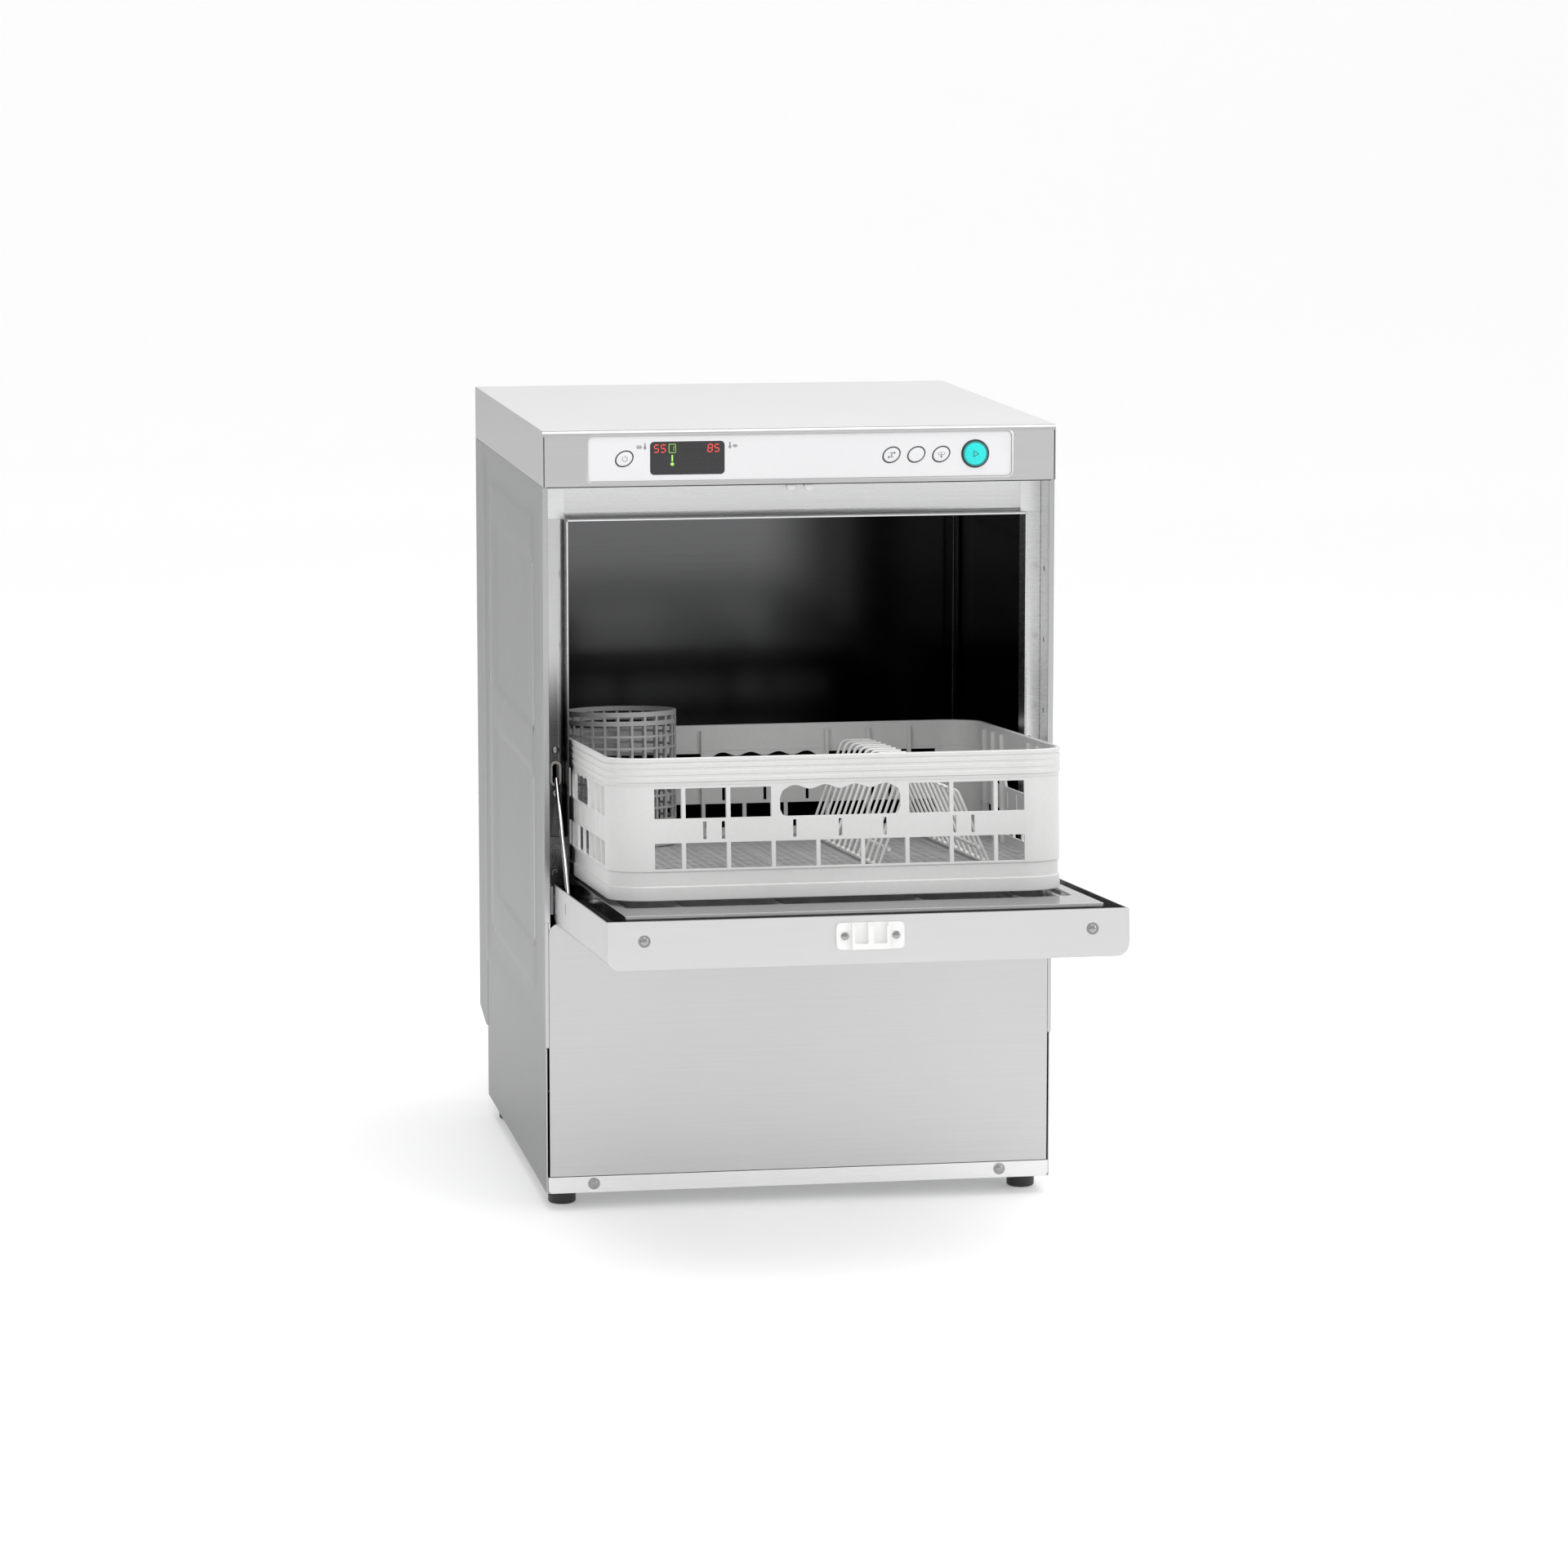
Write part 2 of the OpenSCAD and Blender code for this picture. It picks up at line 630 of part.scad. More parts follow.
// Arms inside the door's sides that turn on the bracket pins, each with a pin for its rod
module hinge_arm() {
    difference() {
        union() {
            block([-220.2, -84, -9], [-217.4, 0, 9]);
            rod_x_dir(-220.2, -217.4, 0, 0, 9);
        }
        rod_x_dir(-222, -215, 0, 0, 4 + run_gap);
    }
    rod_x_dir(-218, -212.4, -rod_u, rod_n, 2);
    rod_x_dir(-212.5, -211.4, -rod_u, rod_n, 3.4);
}

module door_hinge_arms() color("gray") door_frame() both_sides() hinge_arm();

// Rod that steadies the door: its eye turns on the arm's pin and its upper end meets the jamb's slot
module door_rod(side) translate([side * rod_x, -rod_u, rod_n]) rotate([rod_lean + door_tilt, 0, 0]) {
    difference() {
        union() {
            rod_x_dir(-2, 2, 0, 0, 4.4);
            rod_y_dir(2, rod_len, 0, 0, rod_r);
        }
        rod_x_dir(-3, 3, 0, 0, 2 + run_gap);
    }
}

module door_rod_left() color("silver") door_frame() door_rod(-1);
module door_rod_right() color("silver") door_frame() door_rod(1);

// ---------- rack ----------

// Flat outline of the rack, drawn as [x, y] from the line of its front feet
module rack_outline(inset)
    translate([0, rack_d / 2 - rack_front]) round_rect(rack_w - 2 * inset, rack_d - 2 * inset, rack_r - inset);

module rack_ring(w0, w1, inset, thick) translate([0, 0, rack_base + w0]) difference() {
    linear_extrude(w1 - w0) rack_outline(inset);
    translate([0, 0, -1]) linear_extrude(w1 - w0 + 2) rack_outline(inset + thick);
}

// Column k of a wall's windows, counted from its middle, as its near and far edge
function window_edges(k) = let(at = k * cell) [at - (cell - cell_rib) / 2, min(at + (cell - cell_rib) / 2, 160)];

// The windows of one wall, cut along Y; the upper row has a hand hole in its middle
module wall_windows() {
    for (k = [-4:4]) {
        e = window_edges(abs(k));
        x0 = k < 0 ? -e[1] : e[0];
        x1 = k < 0 ? -e[0] : e[1];
        block([x0, -20, row_low[0]], [x1, 20, row_low[1]]);
        if (abs(k) > 1) block([x0, -20, row_high[0]], [x1, 20, row_high[1]]);
    }
    block([-52, -20, row_high[0]], [52, 20, row_high[1]]);
    for (x = [-117, -101, -39.5, 0, 38.5, 99, 115]) block([x - 1.4, -20, 52], [x + 1.4, 20, 67]);
}

module rack_basket() color("lightgray") rack_frame() difference() {
    union() {
        rack_ring(0, 12, 1.4, wall + 1);
        rack_ring(11, 25, 2.6, wall);
        rack_ring(24, rack_h, 1.4, wall + 0.2);
        for (w = [101, 107, 113]) rack_ring(w, w + 3.6, 0.2, wall);
        rack_ring(rack_h - 4, rack_h, 0.2, wall);
        intersection() {
            translate([0, 0, floor_top - floor_t]) linear_extrude(floor_t) rack_outline(3);
            translate([0, 0, floor_top - floor_t]) for (k = [-5:5]) {
                translate([k * cell - 1.8, -10, 0]) cube([3.6, rack_d, floor_t]);
                translate([-rack_w / 2, rack_d / 2 - rack_front + k * cell - 1.8, 0]) cube([rack_w, 3.6, floor_t]);
            }
        }
    }
    for (y = [-rack_front, rack_d - rack_front]) translate([0, y, rack_base]) wall_windows();
    for (s = [-1, 1]) translate([s * rack_w / 2, rack_d / 2 - rack_front, rack_base]) rotate([0, 0, 90]) wall_windows();
    for (s = [-1, 1]) block([s * foot_span - 8, -20, rack_base - 1], [s * foot_span + 8, 7, 7]);
    translate([0, -rack_front, rack_base]) rotate([45, 0, 0]) cube([rack_w + 10, 4, 4], center = true);
}

// Two round feet in the rack's front edge, which ride on the door's inner face
module rack_front_feet() color("lightgray") rack_frame() {
    for (s = [-1, 1]) rod_x_dir(s * foot_span - 7, s * foot_span + 7, 0, 0, guide_r - 0.2);
}

module cutlery_cup() color("gray") rack_frame() translate([cup_at[0], cup_at[1] - rack_front, floor_top + 0.4]) {
    difference() {
        cylinder(cup_h, cup_r, cup_r);
        translate([0, 0, 2.5]) cylinder(cup_h, cup_r - 2.5, cup_r - 2.5);
        for (a = [0:30:330], z = [8, 31, 54, 77]) rotate([0, 0, a]) block([20, -9, z], [60, 9, z + 18]);
        for (a = [0:30:330]) rotate([0, 0, a + 15]) block([20, -5, 100], [60, 5, 112]);
    }
}

// One wire of an insert, which leans up from its foot and is bent over at the top; it starts just above the rail
module insert_wire(x0, lean, hook, h) {
    start = rail_r + wire_r / 2;
    run = norm([lean, h]) * (1 - start / h);
    translate([x0 + lean * start / h, 0, start]) rotate([0, atan2(lean, h), 0]) cylinder(run, wire_r, wire_r);
    translate([x0 + lean, 0, h]) rotate([0, sign(hook) * 90, 0]) cylinder(abs(hook), wire_r, wire_r);
    translate([x0 + lean, 0, h]) sphere(wire_r + 0.4);
}

// A comb of leaning wires on a rail, with a second rail behind them
module insert(x0, lean, hook, h) {
    tie = 15;
    last = wire_y0 + (wire_count - 1) * wire_pitch;
    tie_x = x0 + lean * tie / h + sign(lean) * (wire_r + rail_r + 0.4);
    rack_frame() translate([0, 0, floor_top + 0.4 + rail_r]) {
        for (i = [0:wire_count - 1]) translate([0, wire_y0 + i * wire_pitch, 0]) insert_wire(x0, lean, hook, h);
        rod_y_dir(wire_y0 - 3, last + 3, x0, 0, rail_r);
        rod_y_dir(wire_y0 - 3, last + 3, tie_x, tie, rail_r);
    }
}

module insert_tall() color("white") insert(37, 31, 27, 84.6);
module insert_low() color("white") insert(134, -28, -7, 65);

top_cover();
control_overlay();
display_window();
control_tray();
control_board();
catch_tabs();
front_lintel();
side_panel_left();
side_panel_right();
rear_panel();
rear_cover();
chamber_ceiling();
wash_tank();
jamb_left();
jamb_right();
base_pan();
base_side_left();
base_side_right();
service_panel();
plinth_strip();
cabinet_screws();
feet();
rack_rail_left();
rack_rail_right();
hinge_brackets();
slot_grommets();
tank_filter();
wash_pump();
drain_pump();
boiler();
tank_heater();
inlet_valve();
drain_outlet();
cable_gland();
rinse_riser();
arm_posts();
dosing_pump();
door_outer_skin();
door_inner_panel();
door_gasket();
door_latch();
door_screws();
door_hinge_arms();
door_rod_left();
door_rod_right();
rack_front_feet();
rack_basket();
cutlery_cup();
insert_tall();
insert_low();
power_button();
programme_button_1();
programme_button_2();
programme_button_3();
start_button();
lower_wash_arm();
lower_rinse_arm();
upper_wash_arm();
upper_rinse_arm();
standpipe();
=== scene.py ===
import json
import math

import bmesh
import bpy
from mathutils import Matrix, Vector


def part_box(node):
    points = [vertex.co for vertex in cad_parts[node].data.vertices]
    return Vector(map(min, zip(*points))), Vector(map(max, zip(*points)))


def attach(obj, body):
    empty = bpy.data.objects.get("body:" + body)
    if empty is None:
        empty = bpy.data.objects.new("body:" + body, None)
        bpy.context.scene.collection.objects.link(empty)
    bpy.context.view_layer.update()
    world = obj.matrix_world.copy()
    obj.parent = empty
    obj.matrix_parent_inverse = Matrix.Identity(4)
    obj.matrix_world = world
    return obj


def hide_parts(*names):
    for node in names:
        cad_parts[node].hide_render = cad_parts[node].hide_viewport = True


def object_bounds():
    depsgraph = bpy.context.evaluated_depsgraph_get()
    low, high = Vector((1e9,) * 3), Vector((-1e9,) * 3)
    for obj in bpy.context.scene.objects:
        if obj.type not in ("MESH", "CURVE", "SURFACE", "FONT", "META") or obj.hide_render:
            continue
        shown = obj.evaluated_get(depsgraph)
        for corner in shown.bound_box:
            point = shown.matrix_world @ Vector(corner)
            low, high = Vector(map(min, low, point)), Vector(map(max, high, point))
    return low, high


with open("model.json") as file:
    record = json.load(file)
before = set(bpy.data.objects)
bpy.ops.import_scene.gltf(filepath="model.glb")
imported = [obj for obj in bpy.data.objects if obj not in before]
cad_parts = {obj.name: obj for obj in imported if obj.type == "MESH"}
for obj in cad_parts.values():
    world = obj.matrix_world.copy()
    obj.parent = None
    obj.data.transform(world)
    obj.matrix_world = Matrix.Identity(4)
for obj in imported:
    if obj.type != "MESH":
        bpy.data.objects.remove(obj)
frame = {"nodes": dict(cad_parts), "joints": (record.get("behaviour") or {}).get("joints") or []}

# The looks of a front-loading glass washer machine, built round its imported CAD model.
# Every outline below is in millimetres, in the frame of the cabinet, the door or the rack.

cad_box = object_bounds()
scene = bpy.context.scene
MM = 0.001
# Thickness of the sheet steel
SHEET = 1.2

# ---------- frames ----------

joints = {j["name"]: j for j in frame["joints"]}
slide_axis = joints["rack_feet_slide"]["axis"]
TILT = Matrix.Rotation(math.atan2(slide_axis[2], slide_axis[1]), 4, "X")
SCALE = Matrix.Scale(MM, 4)
# The rack's nominal outline lies this far outside the walls of its CAD node
WALL_INSET = 0.2

# Cabinet: x across, y back from its front plane, z up from its lower edge
CABINET = Matrix.Translation((0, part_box("service_panel")[0].y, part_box("base_pan")[0].z)) @ SCALE
# Door: x across, -y along the door from its hinge line, z square to its inner face
DOOR = Matrix.Translation(joints["door_hinge"]["pos_m"]) @ TILT @ SCALE


def local_points(node, matrix):
    """The vertices of a CAD node in one of the frames."""
    back = matrix.inverted()
    return [back @ v.co for v in frame["nodes"][node].data.vertices]


def local_box(node, matrix):
    """Lowest and highest corner of a CAD node in one of the frames."""
    points = local_points(node, matrix)
    low = Vector([min(p[k] for p in points) for k in range(3)])
    high = Vector([max(p[k] for p in points) for k in range(3)])
    return low, high


def front_view(low, high):
    """Middle and half size of a box as seen from the front, each as (x, z)."""
    return ((low.x + high.x) / 2, (low.z + high.z) / 2), ((high.x - low.x) / 2, (high.z - low.z) / 2)


# Rack: x across from its middle, y back from its front wall, z up from its base
rack_pivot = Matrix.Translation(joints["rack_level"]["pos_m"]) @ TILT @ SCALE
rack_low, rack_high = local_box("rack_basket", rack_pivot)
RACK = rack_pivot @ Matrix.Translation((0, rack_low.y - WALL_INSET, rack_low.z))
FEET_LINE = Vector((0, WALL_INSET - rack_low.y, -rack_low.z))

lid_low, lid_high = local_box("top_cover", CABINET)
side_low, side_high = local_box("side_panel_left", CABINET)
skin_low, skin_high = local_box("door_outer_skin", DOOR)
overlay_low, overlay_high = local_box("control_overlay", CABINET)
display_low, display_high = local_box("display_window", CABINET)
service_low, service_high = local_box("service_panel", CABINET)

# ---------- materials ----------

# The part of a noise pattern's range in which its values lie
NOISE_SPAN = (0.3, 0.7)
# How far brushing and mould skin rise, in metres
BRUSHING_RISE = 0.0002
SKIN_RISE = 0.0004


def principled(made):
    return made.node_tree.nodes["Principled BSDF"]


def multiply(tree, first, second):
    """The product of two colours, as a new socket."""
    mix = tree.nodes.new("ShaderNodeMix")
    mix.data_type = "RGBA"
    mix.blend_type = "MULTIPLY"
    mix.inputs["Factor"].default_value = 1.0
    tree.links.new(first, mix.inputs[6])
    tree.links.new(second, mix.inputs[7])
    return mix.outputs[2]


def map_range(tree, value, spans, interpolation="LINEAR"):
    """Maps a value from the first span to the second."""
    ranged = tree.nodes.new("ShaderNodeMapRange")
    ranged.interpolation_type = interpolation
    for key, edge in zip(("From Min", "From Max", "To Min", "To Max"), spans[0] + spans[1]):
        ranged.inputs[key].default_value = edge
    tree.links.new(value, ranged.inputs["Value"])
    return ranged.outputs["Result"]


def new_material(name, colour, roughness, metallic=0.0, **sockets):
    """A Principled material; sockets gives other inputs by name, with _ for a space."""
    made = bpy.data.materials.new(name)
    made.use_nodes = True
    shader = principled(made)
    shader.inputs["Base Color"].default_value = (*colour, 1)
    shader.inputs["Roughness"].default_value = roughness
    shader.inputs["Metallic"].default_value = metallic
    for key, value in sockets.items():
        shader.inputs[key.replace("_", " ")].default_value = value
    return made


def add_noise(made, scale, stretch=(1, 1, 1), detail=4.0):
    """A noise pattern in the piece's own coordinates, stretched along its axes."""
    tree = made.node_tree
    place = tree.nodes.new("ShaderNodeTexCoord")
    mapping = tree.nodes.new("ShaderNodeMapping")
    mapping.inputs["Scale"].default_value = stretch
    pattern = tree.nodes.new("ShaderNodeTexNoise")
    pattern.inputs["Scale"].default_value = scale
    pattern.inputs["Detail"].default_value = detail
    tree.links.new(place.outputs["Object"], mapping.inputs["Vector"])
    tree.links.new(mapping.outputs["Vector"], pattern.inputs["Vector"])
    return pattern.outputs["Fac"]


def spread_value(made, pattern, low, high, socket):
    """Drives one of the shader's value sockets between low and high."""
    tree = made.node_tree
    tree.links.new(map_range(tree, pattern, (NOISE_SPAN, (low, high))), principled(made).inputs[socket])


def spread_colour(made, patterns, colour, share):
    """Varies the base colour by a share up and down, once for each pattern."""
    tree = made.node_tree
    source = None
    for pattern in patterns:
        base = colour if source is None else (1, 1, 1)
        ramp = tree.nodes.new("ShaderNodeValToRGB")
        for number, factor in enumerate((1 - share, 1 + share)):
            stop = ramp.color_ramp.elements[number]
            stop.position = NOISE_SPAN[number]
            stop.color = (*[min(c * factor, 1) for c in base], 1)
        tree.links.new(pattern, ramp.inputs["Fac"])
        shades = ramp.outputs["Color"]
        source = shades if source is None else multiply(tree, source, shades)
    tree.links.new(source, principled(made).inputs["Base Color"])


def painted_shade_along(made, axis, start, end, share):
    """Paints shade: darkens the base colour to a share of itself from start to end along one axis, in metres.
    """
    tree = made.node_tree
    base = principled(made).inputs["Base Color"]
    source = base.links[0].from_socket
    place = tree.nodes.new("ShaderNodeTexCoord")
    split = tree.nodes.new("ShaderNodeSeparateXYZ")
    tree.links.new(place.outputs["Object"], split.inputs[0])
    shade = map_range(tree, split.outputs[axis], ((start, end), (1.0, share)), "SMOOTHSTEP")
    tree.links.new(multiply(tree, source, shade), base)


def add_bump(made, pattern, strength, distance):
    """Makes the pattern rise by a distance in metres."""
    tree = made.node_tree
    bump = tree.nodes.new("ShaderNodeBump")
    bump.inputs["Strength"].default_value = strength
    bump.inputs["Distance"].default_value = distance
    tree.links.new(pattern, bump.inputs["Height"])
    tree.links.new(bump.outputs["Normal"], principled(made).inputs["Normal"])


# Stretch of the brushing along its own direction
STREAK_LENGTH = 3.5


def brushed_steel(name, colour, roughness, along, grain=0.03, depth=0.03, fineness=1100, edge=0.8):
    """Sheet steel with fine brushing along one axis, and a slow cloudiness over it."""
    made = new_material(name, colour, roughness, metallic=1.0, Specular_Tint=(edge, edge, edge, 1))
    stretch = [fineness] * 3
    stretch["XYZ".index(along)] = STREAK_LENGTH
    streaks = add_noise(made, 2.2, stretch, 4.0)
    clouds = add_noise(made, 5.0, (1, 1, 1), 2.0)
    spread_colour(made, [streaks, clouds], colour, grain)
    spread_value(made, streaks, roughness * 0.85, roughness * 1.18, "Roughness")
    add_bump(made, streaks, depth, BRUSHING_RISE)
    return made


def moulded_plastic(name, colour, roughness, grain=260, depth=0.05, share=0.035, **sockets):
    """Plastic with the fine skin of a mould and slight changes of colour."""
    made = new_material(name, colour, roughness, **sockets)
    fine = add_noise(made, grain, (1, 1, 1), 3.0)
    slow = add_noise(made, 9, (1, 1, 1), 2.0)
    spread_colour(made, [slow, fine], colour, share)
    spread_value(made, fine, roughness * 0.85, roughness * 1.15, "Roughness")
    add_bump(made, fine, depth, SKIN_RISE)
    return made


def lit(name, colour, strength):
    """Something that shines by itself, with a faint unevenness."""
    made = new_material(name, colour, 0.35)
    shader = principled(made)
    shader.inputs["Emission Color"].default_value = (*colour, 1)
    shader.inputs["Emission Strength"].default_value = strength
    spread_colour(made, [add_noise(made, 300)], colour, 0.05)
    return made


LID_STEEL = brushed_steel("lid_steel", (0.56, 0.56, 0.565), 0.34, "X", 0.02)
# Painted light: the lid's top takes a much brighter copy of the lid steel, for the light that falls on it
# from above.
LID_TOP_PAINTED_LIGHT = brushed_steel("lid_top_painted_light_steel", (0.93, 0.93, 0.935), 0.45, "X", 0.01)
PANEL_STEEL = brushed_steel("panel_steel", (0.50, 0.505, 0.51), 0.24, "Z", 0.02, 0.02, edge=0.5)
JAMB_STEEL = brushed_steel("jamb_steel", (0.80, 0.80, 0.805), 0.26, "X", 0.02)
SERVICE_STEEL = brushed_steel("service_steel", (0.56, 0.56, 0.565), 0.34, "X", 0.035, 0.06, 760)
DOOR_STEEL = brushed_steel("door_steel", (0.72, 0.72, 0.725), 0.34, "X", 0.015)
DOOR_SIDE = brushed_steel("door_side_steel", (0.62, 0.62, 0.625), 0.30, "Y", 0.02)
LINER_STEEL = brushed_steel("liner_steel", (0.46, 0.46, 0.465), 0.13, "X", 0.02, 0.01)
# Painted shade and reflection: the chamber's steel is coloured dark for the shade inside the chamber, and
# darkens further towards +X and towards the bottom as painted reflection.
SHADED_CHAMBER_STEEL = brushed_steel("chamber_steel", (0.15, 0.151, 0.154), 0.15, "X", 0.03, 0.01)
painted_shade_along(SHADED_CHAMBER_STEEL, "X", 0.03, 0.11, 0.22)
painted_shade_along(SHADED_CHAMBER_STEEL, "Z", 0.60, 0.36, 0.45)
# Painted shade: the left jamb takes a darker copy of the jamb steel, which darkens further towards its lower
# part.
SHADED_LEFT_JAMB_STEEL = brushed_steel("shaded_left_jamb_steel", (0.62, 0.62, 0.625), 0.24, "X", 0.02)
painted_shade_along(SHADED_LEFT_JAMB_STEEL, "Z", 0.50, 0.43, 0.16)
# Painted shade: a dark steel laid in the deep part of the side panels' pressed grooves.
GROOVE_PAINTED_SHADE = brushed_steel("groove_painted_shade", (0.10, 0.10, 0.102), 0.3, "Z", 0.04)
SCREW_STEEL = brushed_steel("screw_steel", (0.36, 0.36, 0.365), 0.18, "Z", 0.03, 0.02)
PLINTH_STEEL = brushed_steel("plinth_steel", (0.80, 0.80, 0.805), 0.30, "X", 0.02)
# Dark steel, used as painted shade in the lid's cuts and in the gap under the lid, and for the floor of the
# door's channel
DARK_STEEL = brushed_steel("dark_steel", (0.05, 0.05, 0.052), 0.30, "Z", 0.08, 0.03)
BRACKET_STEEL = brushed_steel("bracket_steel", (0.22, 0.22, 0.225), 0.28, "Z", 0.04)
BRIGHT_METAL = brushed_steel("bright_metal", (0.66, 0.66, 0.67), 0.14, "Z", 0.03, 0.02)
OVERLAY = moulded_plastic("overlay_film", (0.74, 0.74, 0.75), 0.34, 420, 0.03, 0.012)
PRINT = moulded_plastic("overlay_print", (0.055, 0.055, 0.06), 0.45, 300, 0.02)
FAINT_PRINT = moulded_plastic("faint_print", (0.32, 0.32, 0.33), 0.45, 300, 0.02)
DISPLAY = moulded_plastic("display_glass", (0.012, 0.012, 0.014), 0.16, 500, 0.01, Coat_Weight=0.6)
GHOST = moulded_plastic("display_ghost", (0.022, 0.022, 0.024), 0.3, 500, 0.01)
RED_LIGHT = lit("red_segments", (0.9, 0.07, 0.05), 0.5)
GREEN_LIGHT = lit("green_segments", (0.36, 0.75, 0.12), 0.35)
START_LIGHT = lit("start_light", (0.01, 0.52, 0.50), 0.42)
START_RING = moulded_plastic("start_ring", (0.02, 0.22, 0.22), 0.3)
WHITE_PLASTIC = moulded_plastic("white_plastic", (0.80, 0.80, 0.79), 0.38, 240, 0.03, 0.02)
RACK_PLASTIC = moulded_plastic("rack_plastic", (0.66, 0.66, 0.655), 0.42, 240, 0.05, 0.03)
FLOOR_PLASTIC = moulded_plastic("rack_floor_plastic", (0.50, 0.50, 0.50), 0.5, 240, 0.05, 0.05)
# Painted shade: the cup is the rack's grey made darker, for the shade it stands in inside the rack.
CUP_SHADED_PLASTIC = moulded_plastic("cup_plastic", (0.37, 0.37, 0.37), 0.40, 240, 0.05, 0.04)
COATED_WIRE = moulded_plastic("coated_wire", (0.84, 0.84, 0.83), 0.28, 120, 0.05, 0.02, Coat_Weight=0.3)
BLACK_RUBBER = moulded_plastic("black_rubber", (0.016, 0.016, 0.016), 0.55, 300, 0.1, 0.1)
FOOT_PLASTIC = moulded_plastic("foot_plastic", (0.020, 0.020, 0.021), 0.38, 200, 0.08, 0.1)
PUMP_PLASTIC = moulded_plastic("pump_plastic", (0.060, 0.062, 0.066), 0.42, 160, 0.08, 0.08)
VALVE_PLASTIC = moulded_plastic("valve_plastic", (0.04, 0.09, 0.34), 0.38, 160, 0.06, 0.06)
ARM_PLASTIC = moulded_plastic("arm_plastic", (0.22, 0.26, 0.31), 0.38, 160, 0.06, 0.05)
BOARD = moulded_plastic("circuit_board", (0.015, 0.11, 0.04), 0.35, 90, 0.1, 0.25)
GROMMET = moulded_plastic("ivory_plastic", (0.62, 0.60, 0.53), 0.35, 240, 0.03, 0.03)

# ---------- mesh helpers ----------


def block(bm, low, high, index=0):
    """A box between two opposite corners."""
    xs, ys, zs = (sorted(pair) for pair in zip(low, high))
    corners = [bm.verts.new((x, y, z)) for x in xs for y in ys for z in zs]
    sides = [(0, 1, 3, 2), (4, 6, 7, 5), (0, 4, 5, 1), (2, 3, 7, 6), (0, 2, 6, 4), (1, 5, 7, 3)]
    for side in sides:
        face = bm.faces.new([corners[k] for k in side])
        face.material_index = index


def basis_for(direction):
    """Two directions square to this one, and to each other."""
    axis = Vector(direction).normalized()
    across = axis.orthogonal().normalized()
    return across, axis.cross(across)


def turns(count):
    """The angles of a full turn in equal steps."""
    return [2 * math.pi * k / count for k in range(count)]


def circle(centre, a, b, radius, sides):
    """Points round a centre, in the plane of two directions."""
    return [centre + (a * math.cos(t) + b * math.sin(t)) * radius for t in turns(sides)]


def skin_rings(bm, rings, closed=False, caps=True, index=0):
    """Joins rings of points into a skin; caps closes its two ends."""
    made = [[bm.verts.new(p) for p in ring] for ring in rings]
    count = len(made[0])
    pairs = list(zip(made, made[1:])) + ([(made[-1], made[0])] if closed else [])
    for a, b in pairs:
        for k in range(count):
            face = bm.faces.new([a[k], a[(k + 1) % count], b[(k + 1) % count], b[k]])
            face.material_index = index
    if caps and not closed:
        for ring in (made[0], made[-1]):
            bm.faces.new(ring).material_index = index


def rod(bm, start, end, radius, sides=24, end_radius=None, index=0):
    """A round bar from start to end."""
    start, end = Vector(start), Vector(end)
    a, b = basis_for(end - start)
    far_radius = radius if end_radius is None else end_radius
    rings = [circle(start, a, b, radius, sides), circle(end, a, b, far_radius, sides)]
    skin_rings(bm, rings, index=index)


def lathe(bm, profile, centre, axis, sides=32, index=0):
    """Turns a profile of (radius, height) points round an axis; it starts and ends on the axis."""
    centre, axis = Vector(centre), Vector(axis).normalized()
    a, b = basis_for(axis)
    ends = [bm.verts.new(centre + axis * profile[k][1]) for k in (0, -1)]
    rings = []
    for r, h in profile[1:-1]:
        rings.append([bm.verts.new(p) for p in circle(centre + axis * h, a, b, r, sides)])
    for k in range(sides):
        n = (k + 1) % sides
        bm.faces.new([ends[0], rings[0][k], rings[0][n]]).material_index = index
        bm.faces.new([ends[1], rings[-1][n], rings[-1][k]]).material_index = index
        for lower, upper in zip(rings, rings[1:]):
            bm.faces.new([lower[k], upper[k], upper[n], lower[n]]).material_index = index


def tube(bm, path, radius, sides=10, index=0):
    """A round wire along a path, with closed ends."""
    path = [Vector(p) for p in path]
    last = len(path) - 1
    tangents = [(path[min(k + 1, last)] - path[max(k - 1, 0)]).normalized() for k in range(last + 1)]
    side, _ = basis_for(tangents[0])
    rings = []
    for point, tangent in zip(path, tangents):
        side = (side - tangent * side.dot(tangent)).normalized()
        rings.append(circle(point, side, tangent.cross(side), radius, sides))
    skin_rings(bm, rings, index=index)


def rounded_path(points, radius, steps=5):
    """The path through these points with each corner rounded."""
    points = [Vector(p) for p in points]
    path = [points[0]]
    for before, corner, after in zip(points, points[1:], points[2:]):
        a, b = (before - corner).normalized(), (after - corner).normalized()
        start, end = corner + a * radius, corner + b * radius
        for k in range(steps + 1):
            t = k / steps
            path.append(start * (1 - t) ** 2 + corner * 2 * t * (1 - t) + end * t * t)
    return path + [points[-1]]


def rounded_outline(half_w, half_h, radius, steps=6, centre=(0, 0)):
    """A rounded rectangle, counter-clockwise."""
    made = []
    for sx, sy, first in ((1, 1, 0), (-1, 1, 90), (-1, -1, 180), (1, -1, 270)):
        for k in range(steps + 1):
            t = math.radians(first + 90 * k / steps)
            x = sx * (half_w - radius) + radius * math.cos(t)
            y = sy * (half_h - radius) + radius * math.sin(t)
            made.append((x + centre[0], y + centre[1]))
    return made


def oval_outline(a, b, lean, centre, count=40):
    """A leaning ellipse."""
    x, z = centre
    return [(x + a * math.cos(t) + lean * b * math.sin(t), z + b * math.sin(t)) for t in turns(count)]


def plate_y(bm, outline, y0, y1, index=0):
    """An outline of (x, z) points made into a plate between two places along Y."""
    skin_rings(bm, [[(x, y, z) for x, z in outline] for y in (y0, y1)], index=index)


